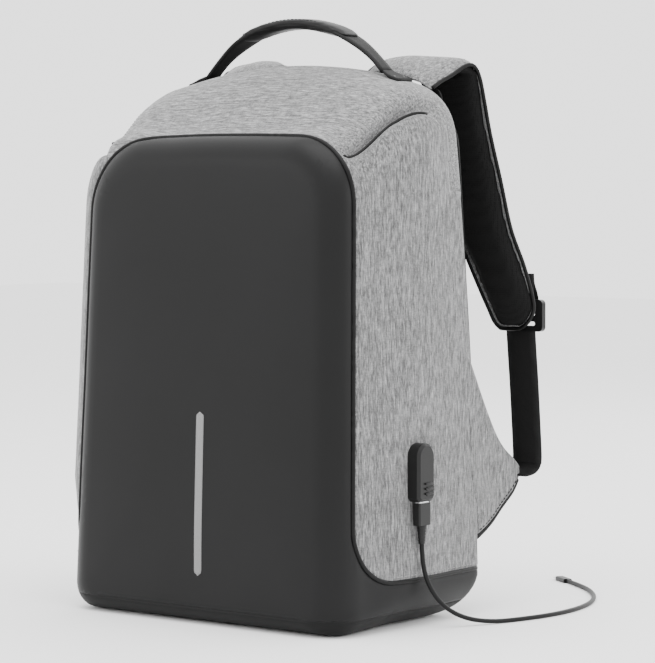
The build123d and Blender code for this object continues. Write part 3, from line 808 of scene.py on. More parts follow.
def tube(name, points, normals, radius, closed=False, lift=0.0, sides=8, flat=1.0):
    rings = []
    count = len(points)
    for i, place in enumerate(points):
        ahead = points[(i + 1) % count] if closed or i < count - 1 else place
        behind = points[i - 1] if closed or i > 0 else place
        along = (ahead - behind).normalized()
        out = normals[i].normalized()
        side = along.cross(out).normalized()
        out = side.cross(along)
        rings.append([place + out * (lift + v * flat) + side * u
                      for u, v in roundRing(sides, 2 * radius, 2 * radius)])
    return meshPiece(name, sweep(rings, closed=closed))


# the run of points again at even steps
def spaced(points, step):
    result = [points[0].copy()]
    left = step
    for a, b in zip(points, points[1:]):
        length = (b - a).length
        while length >= left:
            a = a + (b - a) * (left / length)
            result.append(a.copy())
            length = (b - a).length
            left = step
        left -= length
    return result


# a row of thread along points, each stitch a little pillow
def stitches(name, points, out, body, material=None, pitch=4.2 * mm, long=2.9 * mm,
             thick=0.7 * mm, slot=None):
    run = spaced(points, pitch)
    bm = bmesh.new()
    for a, b in zip(run, run[1:]):
        along = (b - a).normalized()
        normal = out(a) if callable(out) else Vector(out)
        side = along.cross(normal).normalized()
        up = side.cross(along)
        turn = Matrix((along, side, up)).transposed().to_4x4()
        made = bmesh.ops.create_cube(bm, size=1, matrix=Matrix.Translation(a) @ turn @ Matrix.Diagonal(
            (long, thick, thick * 0.8, 1)))["verts"]
        for v in made:
            if (v.co - a).dot(up) > 0:
                v.co -= along * (v.co - a).dot(along) * 0.35
    piece = meshPiece(name, bm, smooth=False)
    return finishPiece(piece, body, material or blackThread, slot or "black_webbing")


def nearForm(place):
    return formTree.find_nearest(place)[1]


# ordered runs of corner points along the edges that pass the test
def borderLoops(bm, test):
    edges = {e for e in bm.edges if test(e)}
    runs = []
    while edges:
        edge = edges.pop()
        run = list(edge.verts)
        grown = True
        while grown:
            grown = False
            for e in list(run[-1].link_edges):
                if e in edges:
                    edges.discard(e)
                    run.append(e.other_vert(run[-1]))
                    grown = True
                    break
        runs.append(run)
    return sorted(runs, key=len)


blackThread = plasticMaterial("blackThread", 0.006, 0.6)
greyThread = plasticMaterial("greyThread", 0.22, 0.7)


# piping along the front seam
def makePiping():
    keys = {f: panelKeys[f[panelNumber]] for f in form.faces}

    def onSeam(e):
        pair = [keys[f] for f in e.link_faces]
        return len(pair) == 2 and (pair[0] == "front") != (pair[1] == "front") and "base" not in pair

    run = borderLoops(form, onSeam)[-1]
    points = spaced([v.co.copy() for v in run] + [run[0].co.copy()], 4 * mm)[:-1]
    for _ in range(2):
        points = [(points[i - 1] + 2 * p + points[(i + 1) % len(points)]) / 4 for i, p in enumerate(points)]
    normals = [nearForm(p) for p in points]
    piping = tube("frontPiping", points, normals, 1.9 * mm, closed=True, lift=0.2 * mm, sides=10)
    finishPiece(piping, "shell", pipingCoat, "piping", "front_piping")


makePiping()


# the dark cord in the crease of each top seam is painted shade for the seam's dark gap
bindingAndShadeCord = dict(count=26, start=9, step=3.4, radius=1.5 * mm, lift=0.3 * mm)  # start and step in mm


def topSeamX(y):
    return seam["topHalf"] + seam["topSlant"] * (y - seam["topFrom"])


# a dark cord laid in the crease between top and side: painted shade standing in for the seam's dark gap
def creaseShadeCord(hand, way):
    run, normals = [], []
    for i in range(bindingAndShadeCord["count"]):
        y = cloth["pleatFrom"] + (bindingAndShadeCord["start"] + bindingAndShadeCord["step"] * i) * mm
        place, normal = topAt(way * topSeamX(y), y)
        if place and normal.z > 0.15 and depthInRegion(place, region) > 4 * mm:
            run.append(place)
            normals.append(normal)
    cord = tube("topSeamShadeCord" + hand.capitalize(), run, normals, bindingAndShadeCord["radius"], lift=bindingAndShadeCord["lift"])
    finishPiece(cord, "shell", pipingCoat, "piping")


for hand, way in hands:
    creaseShadeCord(hand, way)

# topstitching beside the two top seams and along the boot
for hand, way in hands:
    for offset in (-3.2, 3.2):
        run = []
        for step in range(70):
            y = -0.058 + step * 0.00158
            place, normal = topAt(way * (topSeamX(y) + offset * mm), y)
            if place and place.z > seam["topLow"] + 30 * mm and depthInRegion(place, region) > 3 * mm:
                run.append(place + normal * 0.2 * mm)
        stitches("topStitch" + hand.capitalize() + ("In" if offset < 0 else "Out"), run, nearForm,
                 "shell", greyThread, slot="grey_melange")
    run = [sideAt(way, -0.020 + step * 0.0022, seam["bootHeight"] + 4.4 * mm) for step in range(50)]
    stitches("bootStitch" + hand.capitalize(), [p + n * 0.2 * mm for p, n in run if p], nearForm,
             "shell", greyThread, slot="grey_melange")
print("piping and stitching made")

# reflective strip
strip = dict(x=3 * mm, low=40.3 * mm, high=174.2 * mm, wide=8 * mm, proud=0.7 * mm)


def makeStrip():
    bm = bmesh.new()
    bmesh.ops.create_grid(bm, x_segments=8, y_segments=56, size=1)
    half, radius = (strip["high"] - strip["low"]) / 2, strip["wide"] / 2
    for v in bm.verts:
        z = v.co.y * half
        past = max(abs(z) - (half - radius), 0) / radius
        x = v.co.x * radius * math.sqrt(max(1 - past * past, 0.002))
        place, _ = onForm(strip["x"] + x, strip["low"] + half + z)
        v.co = place - Vector((0, strip["proud"] * (0.35 + 0.65 * (1 - abs(v.co.x) ** 4)), 0))
    bmesh.ops.recalc_face_normals(bm, faces=bm.faces[:])
    piece = meshPiece("reflectiveStrip", bm)
    if piece.data.polygons[0].normal.y > 0:
        piece.data.flip_normals()
    addSolidify(piece, 0.9 * mm)
    finishPiece(piece, "shell", reflectiveTape, "reflective", "reflective_strip")


makeStrip()

# zip, tapes and teeth
zipper = dict(
    tapeInset=5.6 * mm, teethInset=5.2 * mm, teethOut=1.55 * mm, pitch=3.0 * mm, foot=64 * mm,
    tooth=(1.1 * mm, 2.2 * mm, 1.7 * mm),
)


def backBorder(inset, offset, low):
    return spaced([p for p in rimPoints(inset, offset) if p.z > low], 4 * mm)


def outwards(place):
    return Vector((place.x, 0, place.z - rim["middle"])).normalized()


def makeZip():
    for name, body, near, away, node in (
        ("zipTapeShell", "shell", -13.5 * mm, 1.3 * mm, "zip_tape_shell"),
        ("zipTapeBack", "back", 1.8 * mm, 3.2 * mm, "zip_tape_back"),
    ):
        run = backBorder(zipper["tapeInset"], 0, zipper["foot"])
        rings = []
        for p in run:
            out = outwards(p)
            rings.append([p + Vector((0, y, 0)) + out * x for y, x in (
                (near, -0.5 * mm), (away, -0.5 * mm), (away, 0.5 * mm), (near, 0.5 * mm))])
        piece = meshPiece(name, sweep(rings), smooth=False)
        finishPiece(piece, body, webbingCloth, "zip_tape", node)
    run = backBorder(zipper["teethInset"], zipper["teethOut"], zipper["foot"])
    for name, body, way in (("zipTeethShell", "shell", -1), ("zipTeethBack", "back", 1)):
        bm = bmesh.new()
        for i, p in enumerate(spaced(run, zipper["pitch"] / 2)):
            if i % 2 == (way > 0):
                continue
            out = outwards(p)
            along = Vector((0, 1, 0)).cross(out)
            turn = Matrix((along, Vector((0, 1, 0)), out)).transposed().to_4x4()
            place = p + Vector((0, way * 0.5 * mm, 0)) + out * 0.4 * mm
            bmesh.ops.create_cube(bm, size=1, matrix=Matrix.Translation(place) @ turn @ Matrix.Diagonal(
                (*zipper["tooth"], 1)))
        finishPiece(meshPiece(name, bm, smooth=False), body, softPlastic, "zip_tape")


makeZip()
print("zip made")

# the padded back
back = dict(
    near=5 * mm, away=12 * mm, inset=6.2 * mm, low=63.6 * mm, cutsAcross=64, cutsUp=92,
    reach=0.19, edgeDrop=2.4 * mm,
)


def makeBackPanel():
    bm = bmesh.new()
    bmesh.ops.create_grid(bm, x_segments=back["cutsAcross"], y_segments=back["cutsUp"], size=1)
    for v in bm.verts:
        across, up = v.co.x, v.co.y
        k = max(abs(across), abs(up))
        p = formPoint(across, 3, up, 0)
        middle = Vector((0, p.y, rim["middle"]))
        reach = p - middle
        if reach.length > 0:
            p = middle + reach * (1 - back["inset"] / back["reach"] * k)
        drop = back["edgeDrop"] * max((k - 0.93) / 0.07, 0) ** 2  # only near the edge
        p.y = rearY(max(p.z, 0.02)) + back["away"] - drop
        v.co = p
    bmesh.ops.bisect_plane(bm, geom=bm.verts[:] + bm.edges[:] + bm.faces[:], dist=1e-5,
                           plane_co=(0, 0, back["low"]), plane_no=(0, 0, -1), clear_outer=True)
    for f in bm.faces:
        f.normal_update()
    if bm.faces[:][0].normal.y < 0:
        bmesh.ops.reverse_faces(bm, faces=bm.faces[:])
    piece = meshPiece("backPanel", bm)
    addSolidify(piece, back["away"] - back["near"] + 1.6 * mm)
    finishPiece(piece, "back", meshCloth, "back_mesh", "back_panel")
    border = backBorder(8.0 * mm, 10.6 * mm, 66 * mm)
    piping = tube("backPiping", border, [outwards(p) for p in border], 1.7 * mm, sides=8)
    finishPiece(piping, "back", pipingCoat, "piping")


makeBackPanel()


# remeshes a closed pad and blows it up with Blender's cloth, no further than cap
def swell(piece, voxel, cap, floorAt=None, pressure=4.0):
    scene = bpy.context.scene
    remesh = piece.modifiers.new("voxels", "REMESH")
    remesh.mode, remesh.voxel_size = "VOXEL", voxel
    takeModifiers(piece)
    start = [v.co.copy() for v in piece.data.vertices]
    blow = piece.modifiers.new("blow", "CLOTH")
    blow.settings.use_pressure = True
    blow.settings.uniform_pressure_force = pressure
    blow.settings.quality = 5
    blow.settings.effector_weights.gravity = 0
    blow.point_cache.frame_start, blow.point_cache.frame_end = 1, 20
    for frameNumber in range(1, 21):
        scene.frame_set(frameNumber)
    takeModifiers(piece)
    for v, was in zip(piece.data.vertices, start):
        move = v.co - was
        if move.length > cap:
            move = move * (cap / move.length)
        v.co = was + move
        if floorAt is not None:
            v.co = floorAt(v.co)
    scene.frame_set(1)
    addSubdivision(piece)
    takeModifiers(piece)


# what the modifiers make becomes the mesh
def takeModifiers(piece):
    graph = bpy.context.evaluated_depsgraph_get()
    graph.update()
    mesh = bpy.data.meshes.new_from_object(piece.evaluated_get(graph))
    piece.modifiers.clear()
    old = piece.data
    piece.data = mesh
    bpy.data.meshes.remove(old)
    mesh.polygons.foreach_set("use_smooth", [True] * len(mesh.polygons))


# a cube from -1 to 1, cut into even rows across, deep and up
def cutCube(cuts):
    bm = bmesh.new()
    bmesh.ops.create_cube(bm, size=2)
    for axis, count in zip(((1, 0, 0), (0, 1, 0), (0, 0, 1)), cuts):
        for step in range(1, count):
            bmesh.ops.bisect_plane(bm, geom=bm.verts[:] + bm.edges[:] + bm.faces[:], dist=1e-6,
                                   plane_co=Vector(axis) * (-1 + 2 * step / count), plane_no=axis)
    return bm


# a pad with rounded corners that lies along the back seam
def padBlock(name, xs, zs, near, away, radius, cuts=(16, 3, 28)):
    bm = cutCube(cuts)
    halfX, halfZ = (xs[1] - xs[0]) / 2, (zs[1] - zs[0]) / 2
    for v in bm.verts:
        x, z = v.co.x * halfX, v.co.z * halfZ
        overX, overZ = abs(x) - (halfX - radius), abs(z) - (halfZ - radius)
        if overX > 0 and overZ > 0:
            reach = max(overX, overZ) / math.hypot(overX, overZ)
            x = math.copysign(halfX - radius + overX * reach, x)
            z = math.copysign(halfZ - radius + overZ * reach, z)
        edge = max(abs(v.co.x) ** 8, abs(v.co.z) ** 8)
        z += (zs[0] + zs[1]) / 2
        thick = (away - near) * (1 - 0.45 * edge)
        y = rearY(z) + near + thick * (v.co.y + 1) / 2
        v.co = (x + (xs[0] + xs[1]) / 2, y, z)
    bmesh.ops.recalc_face_normals(bm, faces=bm.faces[:])
    return meshPiece(name, bm)


def onBack(near):
    return lambda p: Vector((p.x, max(p.y, rearY(p.z) + near), p.z))


# sewn channels across a pad, at heights in lines
def pressChannels(piece, lines, depth, width):
    for v in piece.data.vertices:
        for line in lines:
            v.co.y -= depth * bell(v.co.z - line(v.co.x), width)


pads = dict(
    near=12.3 * mm, away=20.6 * mm, cap=4.5 * mm, voxel=4.5 * mm, inner=20 * mm, outer=124 * mm,
    low=170 * mm, high=390 * mm, corner=22 * mm, channels=(228, 276, 324), slope=0.18,  # channels in mm
)
for hand, way in hands:
    xs = sorted((way * pads["inner"], way * pads["outer"]))
    pad = padBlock("backPad" + hand.capitalize(), xs, (pads["low"], pads["high"]),
                   pads["near"], pads["away"], pads["corner"])
    swell(pad, pads["voxel"], pads["cap"], onBack(pads["near"]))
    lines = [lambda x, h=h: h * mm + abs(x) * pads["slope"] for h in pads["channels"]]
    pressChannels(pad, lines, 3.0 * mm, 3.4 * mm)
    finishPiece(pad, "back", meshCloth, "back_mesh", "back_pad_" + hand)
lumbar = padBlock("lumbarPad", (-132 * mm, 132 * mm), (80 * mm, 154 * mm), pads["near"], 23 * mm, 20 * mm,
                  cuts=(36, 3, 12))
swell(lumbar, pads["voxel"], pads["cap"], onBack(pads["near"]))
finishPiece(lumbar, "back", meshCloth, "back_mesh", "lumbar_pad")
yoke = padBlock("yoke", (-128 * mm, 128 * mm), (405 * mm, 440 * mm), pads["near"], 15.5 * mm, 10 * mm,
                cuts=(36, 3, 8))
addSubdivision(yoke)
finishPiece(yoke, "back", webbingCloth, "back_mesh", "yoke")
print("back pads made")

# luggage strap
luggage = dict(
    low=222 * mm, high=288 * mm, half=133 * mm, lie=24.6 * mm, thick=1.5 * mm, endDrop=12.2 * mm,
)


def makeLuggageStrap():
    rings = []
    for i in range(49):
        t = -1 + 2 * i / 48
        x = t * luggage["half"]
        bow = luggage["lie"] - luggage["endDrop"] * (max(abs(t) - 0.9, 0) / 0.1) ** 1.6
        narrow = 0.94 + 0.06 * abs(t) ** 3
        middle = (luggage["low"] + luggage["high"]) / 2
        half = (luggage["high"] - luggage["low"]) / 2 * narrow
        ring = []
        over = [(z / 2, 0) for z in range(-2, 3)]
        for z, y in over + [(z, -1) for z, _ in reversed(over)]:
            height = middle + z * half
            ring.append(Vector((x, rearY(height) + bow + y * luggage["thick"], height)))
        rings.append(ring)
    piece = meshPiece("luggageStrap", sweep(rings), smooth=False)
    finishPiece(piece, "back", webbingCloth, "black_webbing", "luggage_strap")
    for name, z in (("Low", luggage["low"] + 6 * mm), ("High", luggage["high"] - 6 * mm)):
        for end in (-1, 1):
            run = [Vector((end * (0.100 + 0.0012 * i), rearY(z) + luggage["lie"] + 0.2 * mm, z))
                   for i in range(16)]
            stitches("luggageStitch" + name + ("Left" if end < 0 else "Right"), run, (0, 1, 0),
                     "back", greyThread)


makeLuggageStrap()

# shoulder straps
shoulder = dict(
    thick=11.2 * mm, cap=2.2 * mm, voxel=4.0 * mm, cover=1.6 * mm, coverOut=0.6 * mm, piping=1.7 * mm,
    droop=14 * mm, droopX=80 * mm, droopWide=48 * mm, droopY=80 * mm, droopLong=34 * mm, seamIn=9 * mm,
)
# y, z of the middle, then x of the inner and outer edge, in mm
strapRows = [
    (63.5, 449.5, 56, 124), (72, 455, 55, 125), (84, 460, 56, 126), (100, 461.5, 61, 130),
    (112, 458, 68, 133), (119, 448, 73, 134), (124.5, 428, 77, 135), (129, 400, 81, 138),
    (135.5, 362, 86, 144), (140.5, 322, 94, 151), (143.5, 292, 106, 162), (145.5, 268, 117, 169),
    (146.5, 254, 124, 170.5), (147, 244, 129, 165), (147.2, 238.5, 134, 158),
]


def strapFrames(steps):
    rows = smoothRun(strapRows, steps)
    frames = []
    for i, row in enumerate(rows):
        a, b = rows[max(i - 1, 0)], rows[min(i + 1, len(rows) - 1)]
        along = Vector((0, b[0] - a[0], b[1] - a[1])).normalized()
        out = Vector((0, -along.z, along.y))  # away from the bag on the hanging part
        middle = Vector(((row[2] + row[3]) / 2, row[0], row[1])) * mm
        frames.append((middle, (row[3] - row[2]) * mm, out))
    return frames


# the two long edges and the foot as one run, for the piping
def strapOutline(frames, way):
    inner = [p + Vector((-w / 2, 0, 0)) for p, w, _ in frames]
    outer = [p + Vector((w / 2, 0, 0)) for p, w, _ in frames]
    foot = [inner[-1].lerp(outer[-1], k) + Vector((0, 0, -1.5 * mm)) for k in (0.2, 0.5, 0.8)]
    return [Vector((p.x * way, p.y, p.z)) for p in inner + foot + outer[::-1]]


# height of the cover over the strap's middle layer, u from -1 to 1 across it
def coverHeight(u):
    return (shoulder["thick"] / 2 + shoulder["coverOut"]) * max(1 - abs(u) ** 3.2, 0) ** 0.5


# the root's outer side hangs down along the bag's rounded shoulder
def drooped(p):
    across = min(max((abs(p.x) - shoulder["droopX"]) / shoulder["droopWide"], 0), 1)
    rest = min(max((p.y - shoulder["droopY"]) / shoulder["droopLong"], 0), 1)
    return p - Vector((0, 0, shoulder["droop"] * across ** 1.3 * (1 - rest * rest * (3 - 2 * rest))))


def makeStrap(hand, way):
    frames = strapFrames(5)
    title = hand.capitalize()
    last = len(frames) - 1

    # keeps the swollen pad below the cover
    def underCover(p):
        middle, wide, out = min(frames, key=lambda f: (f[0].y - p.y) ** 2 + (f[0].z - p.z) ** 2)
        high = (p.y - middle.y) * out.y + (p.z - middle.z) * out.z
        roof = coverHeight(min(abs(p.x * way - middle.x) / (wide / 2), 1)) - 2.6 * mm
        return p - out * max(high - roof, 0)

    rings = []
    for i, (middle, wide, out) in enumerate(frames):
        end = min(i, last - i) / 3
        tight = min(0.62 + 0.38 * end, 1)
        rings.append([
            Vector((way * (middle.x + u), 0, 0)) + Vector((0, middle.y, middle.z)) + out * v
            for u, v in roundRing(28, wide - 2 * mm, (shoulder["thick"] - 2.4 * mm) * tight, 3.4)])
    pad = meshPiece("shoulderPad" + title, sweep(rings))
    swell(pad, shoulder["voxel"], shoulder["cap"], underCover)
    for v in pad.data.vertices:
        v.co = drooped(v.co)
    finishPiece(pad, "back", meshCloth, "back_mesh", "shoulder_strap_" + hand)

    rings = []  # the grey cover on the outer face
    for i, (middle, wide, out) in enumerate(frames):
        end = min(min(i, last - i) / 3, 1)
        ring = []
        for k in range(13):
            u = -1 + k / 6
            v = coverHeight(u) * (0.7 + 0.3 * end) + 0.2 * mm
            reach = wide / 2 + shoulder["coverOut"] - 1.8 * mm * min(max((i - 18) / 14, 0), 1)
            ring.append(drooped(Vector((way * (middle.x + u * reach), middle.y, middle.z)) + out * v))
        rings.append(ring)
    cover = meshPiece("shoulderCover" + title, sweep(rings, openRing=True))
    centre = frames[len(frames) // 2]
    place = Vector((way * centre[0].x, centre[0].y, centre[0].z))
    near = min(cover.data.polygons, key=lambda f: (f.center - place).length)
    if near.normal.dot(centre[2]) < 0:
        cover.data.flip_normals()
    addSolidify(cover, shoulder["cover"])
    addSubdivision(cover)
    finishPiece(cover, "back", strapMelangePaintedLight, "grey_melange")

    run = spaced([Vector(p) for p in smoothRun(strapOutline(frames, way), 2)], 4 * mm)
    outs = []
    for p in run:
        near = min(frames, key=lambda f: abs(f[0].z - p.z) + abs(f[0].y - p.y))
        outs.append(near[2])
    run = [drooped(p) for p in run]
    piping = tube("shoulderPiping" + title, run, outs, shoulder["piping"], sides=8)
    finishPiece(piping, "back", pipingCoat, "piping")
    for side in (-1, 1):
        run = [drooped(Vector((way * (m.x + side * (w / 2 - shoulder["seamIn"])), m.y, m.z))
                       + out * (coverHeight(1 - 7 / 34) + 0.3 * mm)) for m, w, out in frames[8:-6]]
        stitches("shoulderStitch" + title + ("In" if side < 0 else "Out"), run,
                 lambda p: min(frames, key=lambda f: abs(f[0].z - p.z))[2], "back", greyThread,
                 slot="grey_melange")


for hand, way in hands:
    makeStrap(hand, way)
print("shoulder straps made")


# the section of a tape, from -1 to 1, thinner past its edge
def tapeSection(edge):
    over = [(-1, 0), (-edge, 1), (-0.5, 1), (0, 1), (0.5, 1), (edge, 1)]
    return over + [(-u, -v) for u, v in over]


# webbing whose side view is a run of y, z, with its width along x
def tape(name, sideRun, xMiddle, wide, thick, body, *nodes, widths=None):
    rows = smoothRun(sideRun, 6)
    rings = []
    for i, row in enumerate(rows):
        a, b = rows[max(i - 1, 0)], rows[min(i + 1, len(rows) - 1)]
        out = Vector((0, b[1] - a[1], -(b[0] - a[0]))).normalized()
        half = wide / 2 if widths is None else widths(i / (len(rows) - 1)) / 2
        middle = Vector((xMiddle, row[0] * mm, row[1] * mm))
        rings.append([middle + Vector((u * half, 0, 0)) + out * v * thick / 2
                      for u, v in tapeSection(0.96)])
    piece = meshPiece(name, sweep(rings))
    return finishPiece(piece, body, webbingCloth, "black_webbing", *nodes)


# side views as y, z in mm: the loop round the lock's bar, the hanging tape, its fold under the wing's tip
adjuster = dict(
    x=150 * mm, wide=30 * mm, thick=1.5 * mm, foldThick=1.6 * mm, foldEnd=18 * mm,
    loop=[(153.4, 284), (154.2, 275), (155.0, 267), (155.3, 260.5), (157, 257.7),
          (160.8, 258.3), (161.9, 262), (160.0, 268), (156.0, 276), (154.9, 284)],
    hanging=[(157.2, 236.5), (157.8, 230), (159.4, 215), (161.6, 196), (163.6, 176),
             (165.4, 156), (167, 138), (167.6, 128), (167, 122)],
    fold=[(167.4, 123), (166.4, 118.4), (163.6, 115.2), (159, 113.4), (153, 112.6)],
)
for hand, way in hands:
    title = hand.capitalize()
    x, wide = way * adjuster["x"], adjuster["wide"]
    tape("strapTab" + title, adjuster["loop"], x, wide, adjuster["thick"], "back", "strap_tab_" + hand)
    run = [Vector((x + way * i * mm, 155.9 * mm, 280 * mm)) for i in range(-12, 13, 4)]
    stitches("strapTabStitch" + title, run, (0, 1, 0), "back", greyThread)
    tape("adjusterWebbing" + title, adjuster["hanging"], x, wide, adjuster["thick"], "back",
         "adjuster_webbing_" + hand)
    tape("adjusterFold" + title, adjuster["fold"], x, wide, adjuster["foldThick"], "back",
         widths=lambda t: adjuster["wide"] + (adjuster["foldEnd"] - adjuster["wide"]) * t)


# side wings
wing = dict(
    x=148.4 * mm, thick=4.4 * mm, tipY=158 * mm, tipZ=118 * mm, tipUp=9 * mm, tipDown=12 * mm,
    high=232 * mm, low=66 * mm, tipRound=8 * mm, overlap=12 * mm, overlapFrom=70 * mm, overlapBlend=50 * mm,
    fold=1.4 * mm, wave=0.9 * mm, bindingAndShadeCord=2.7 * mm,
)


# from the side panel, u 0, to the tip, u 1; t runs from the lower edge up
def wingPoint(u, t, way):
    high = wing["high"] + (wing["tipZ"] + wing["tipUp"] - wing["high"]) * (1 - (1 - u) ** 1.9)
    low = wing["low"] + (wing["tipZ"] - wing["tipDown"] - wing["low"]) * u ** 1.15
    rounded = wing["tipRound"] * max((u - 0.8) / 0.2, 0) ** 2
    z = low + rounded + (high - low - 2 * rounded) * t
    over = wing["overlap"] * min(max((z - wing["overlapFrom"]) / wing["overlapBlend"], 0.1), 1)
    rear = rearY(z) - over
    y = rear + (wing["tipY"] - rear) * u
    side = abs(sideAt(way, rear, z)[0].x) - wing["thick"] / 2 + 0.5 * mm
    blendIn = min(max(u - 0.12, 0) / 0.5, 1)
    blendIn = blendIn * blendIn * (3 - 2 * blendIn)
    fold = wing["fold"] * bell(u - 0.25, 0.14) * math.sin(t * math.pi)
    wave = wing["wave"] * math.sin(t * 7 + u * 4) * u * (1 - u) * 3
    return z, y, side + (wing["x"] - 1.0 * mm - side) * blendIn - fold + wave


def makeWing(hand, way):
    bm = bmesh.new()
    bmesh.ops.create_grid(bm, x_segments=20, y_segments=20, size=1)
    for v in bm.verts:
        u, t = (v.co.x + 1) / 2, (v.co.y + 1) / 2
        z, y, x = wingPoint(u, t, way)
        v.co = (way * x, y, z)
    piece = meshPiece("wing" + hand.capitalize(), bm)
    if piece.data.polygons[0].normal.x * way < 0:
        piece.data.flip_normals()
    addSolidify(piece, wing["thick"], 0)
    addSubdivision(piece)
    finishPiece(piece, "back", sideMelange, "grey_melange", "wing_" + hand)
    run = []
    for i in range(30):
        z, y, x = wingPoint(i / 29 * 0.96, 0, way)
        run.append(Vector((way * x, y, z - 0.4 * mm)))
    edge = tube("wingBinding" + hand.capitalize(), run, [Vector((way, 0, 0))] * len(run),
                wing["bindingAndShadeCord"], flat=0.95)
    finishPiece(edge, "back", webbingCloth, "black_webbing")
    raised = [p + Vector((way * (wing["thick"] / 2 + 0.4 * mm), 0, 4.6 * mm)) for p in run[2:]]
    stitches("wingStitch" + hand.capitalize(), raised, (way, 0, 0), "back", blackThread)


for hand, way in hands:
    makeWing(hand, way)
print("wings and webbing made")

# carry handle
handle = dict(
    y=42 * mm, half=92 * mm, foot=455 * mm, top=494.5 * mm, web=2.6 * mm, neck=15 * mm, wide=26 * mm,
    sleeve=7.5 * mm, sleeveEnd=3.6 * mm, sleeveHalf=58 * mm, neckFrom=52 * mm, neckLong=36 * mm,
)
tab = dict(start=95 * mm, end=113 * mm, proud=2.4 * mm, sunk=1.0 * mm, narrow=14 * mm, widening=6 * mm)


def archPoint(x):
    rise, half = handle["top"] - handle["foot"], handle["half"]
    radius = (half * half + rise * rise) / (2 * rise)
    centre = handle["top"] - radius
    z = centre + math.sqrt(radius * radius - x * x)
    out = Vector((x, 0, z - centre)).normalized()
    return Vector((x, handle["y"], z)), out


def makeHandle():
    rings = []
    for i in range(61):
        x = -tab["start"] + 2 * tab["start"] * i / 60
        place, out = archPoint(x)
        narrowing = min(max((abs(x) - handle["neckFrom"]) / handle["neckLong"], 0), 1)
        narrowing = narrowing * narrowing * (3 - 2 * narrowing)
        wide = handle["wide"] + (handle["neck"] - handle["wide"]) * narrowing
        rings.append([place + Vector((0, u * wide / 2, 0)) + out * v * handle["web"] / 2
                      for u, v in tapeSection(0.95)])
    webbing = meshPiece("handleWebbing", sweep(rings))
    finishPiece(webbing, "handle", handleCloth, "black_webbing", "carry_handle")


def makeSleeve():
    rings = []
    for i in range(45):
        t = -1 + 2 * i / 44
        place, out = archPoint(t * handle["sleeveHalf"])
        end = 1 - abs(t) ** 10
        wide = (handle["wide"] + 2.4 * mm) * (0.86 + 0.14 * end)
        high = handle["sleeveEnd"] + (handle["sleeve"] - handle["sleeveEnd"]) * end
        rings.append([place + Vector((0, u, 0)) + out * v for u, v in roundRing(24, wide, high, 3.2)])
    sleeve = meshPiece("handleSleeve", sweep(rings))
    swell(sleeve, 3.6 * mm, 1.2 * mm)
    finishPiece(sleeve, "handle", sleeveCoat, "black_webbing")
    for side in (-1, 1):
        run = [archPoint(x * mm)[0] + Vector((0, side * 9.6 * mm, 0)) + archPoint(x * mm)[1] * 3.5 * mm
               for x in range(-50, 51, 4)]
        stitches("sleeveStitch" + ("Front" if side < 0 else "Rear"), run,
                 lambda p: archPoint(p.x)[1], "handle")


# a stitched tab from the handle's end down onto the cloth
def makeTab(hand, way):
    title = hand.capitalize()
    pin = archPoint(way * tab["start"])[0]
    rings = []
    for i in range(22):
        t = i / 21
        x = way * (tab["start"] + 0.6 * mm + (tab["end"] - tab["start"]) * t)
        ground = topAt(x, handle["y"])[0].z
        rise = (1 - t) ** 2.6
        high = ground + tab["proud"] + (pin.z + 1.4 * mm - ground - tab["proud"]) * rise
        low = ground - tab["sunk"] + (pin.z - 1.6 * mm - ground + tab["sunk"]) * rise
        wide = tab["narrow"] + tab["widening"] * min(t * 2.5, 1)
        tilt = (topAt(x, handle["y"] + 8 * mm)[0].z - topAt(x, handle["y"] - 8 * mm)[0].z) / (16 * mm)
        ring = []
        for u, v in roundRing(20, 2, 2, 6):
            y = u * wide / 2
            z = (high + low) / 2 + v * (high - low) / 2 + y * tilt * (1 - rise)
            ring.append(Vector((x, handle["y"] + y, z)))
        rings.append(ring)
    piece = meshPiece("handleTab" + title, sweep(rings))
    finishPiece(piece, "shell", handleCloth, "black_webbing", "handle_anchor_" + hand)
    for offset in (-6, 6):
        run = []
        for k in range(9):
            ground, normal = topAt(way * (104 + k) * mm, handle["y"] + offset * mm)
            run.append(ground + normal * 2.7 * mm)
        stitches("tabStitch" + title + ("A" if offset < 0 else "B"), run, nearForm, "shell", greyThread,
                 pitch=3 * mm, long=2.1 * mm)


sleeveCoat = coatedMaterial("sleeveCoat", 0.005, 0.38)
makeHandle()
makeSleeve()
for hand, way in hands:
    makeTab(hand, way)
print("handle made")

# charging port details
port = dict(
    x=166.1 * mm, y=4.5 * mm, low=104 * mm, grips=3, firstGrip=6.5, gripPitch=4,  # grip places in mm
    gripSize=(2.6 * mm, 9 * mm, 1.7 * mm), gripBevel=0.5 * mm,
)


def roundedBlock(name, middle, size, bevel, body, material, slot):
    bm = bmesh.new()
    bmesh.ops.create_cube(bm, size=1, matrix=Matrix.Translation(middle) @ Matrix.Diagonal((*size, 1)))
    bmesh.ops.bevel(bm, geom=bm.edges[:], offset=bevel, offset_type="OFFSET", affect="EDGES",
                    segments=3, profile=0.5, material=-1)
    return finishPiece(meshPiece(name, bm), body, material, slot)


for i in range(port["grips"]):  # grips low on the face
    z = port["low"] + (port["firstGrip"] + port["gripPitch"] * i) * mm
    roundedBlock("portGrip" + str(i + 1), (port["x"], port["y"], z), port["gripSize"], port["gripBevel"],
                 "shell", blackPlastic, "black_plastic")
print("port details made")

# inside: lining and pockets
inside = dict(
    inset=4.3 * mm, wall=0.7 * mm, drop=9 * mm, dropWidth=16 * mm,
    deepCuts=[0.25, 0.5, 0.75, 1, 1.2, 1.4, 1.6, 1.8, 2, 2.25, 2.5, 2.75],
)


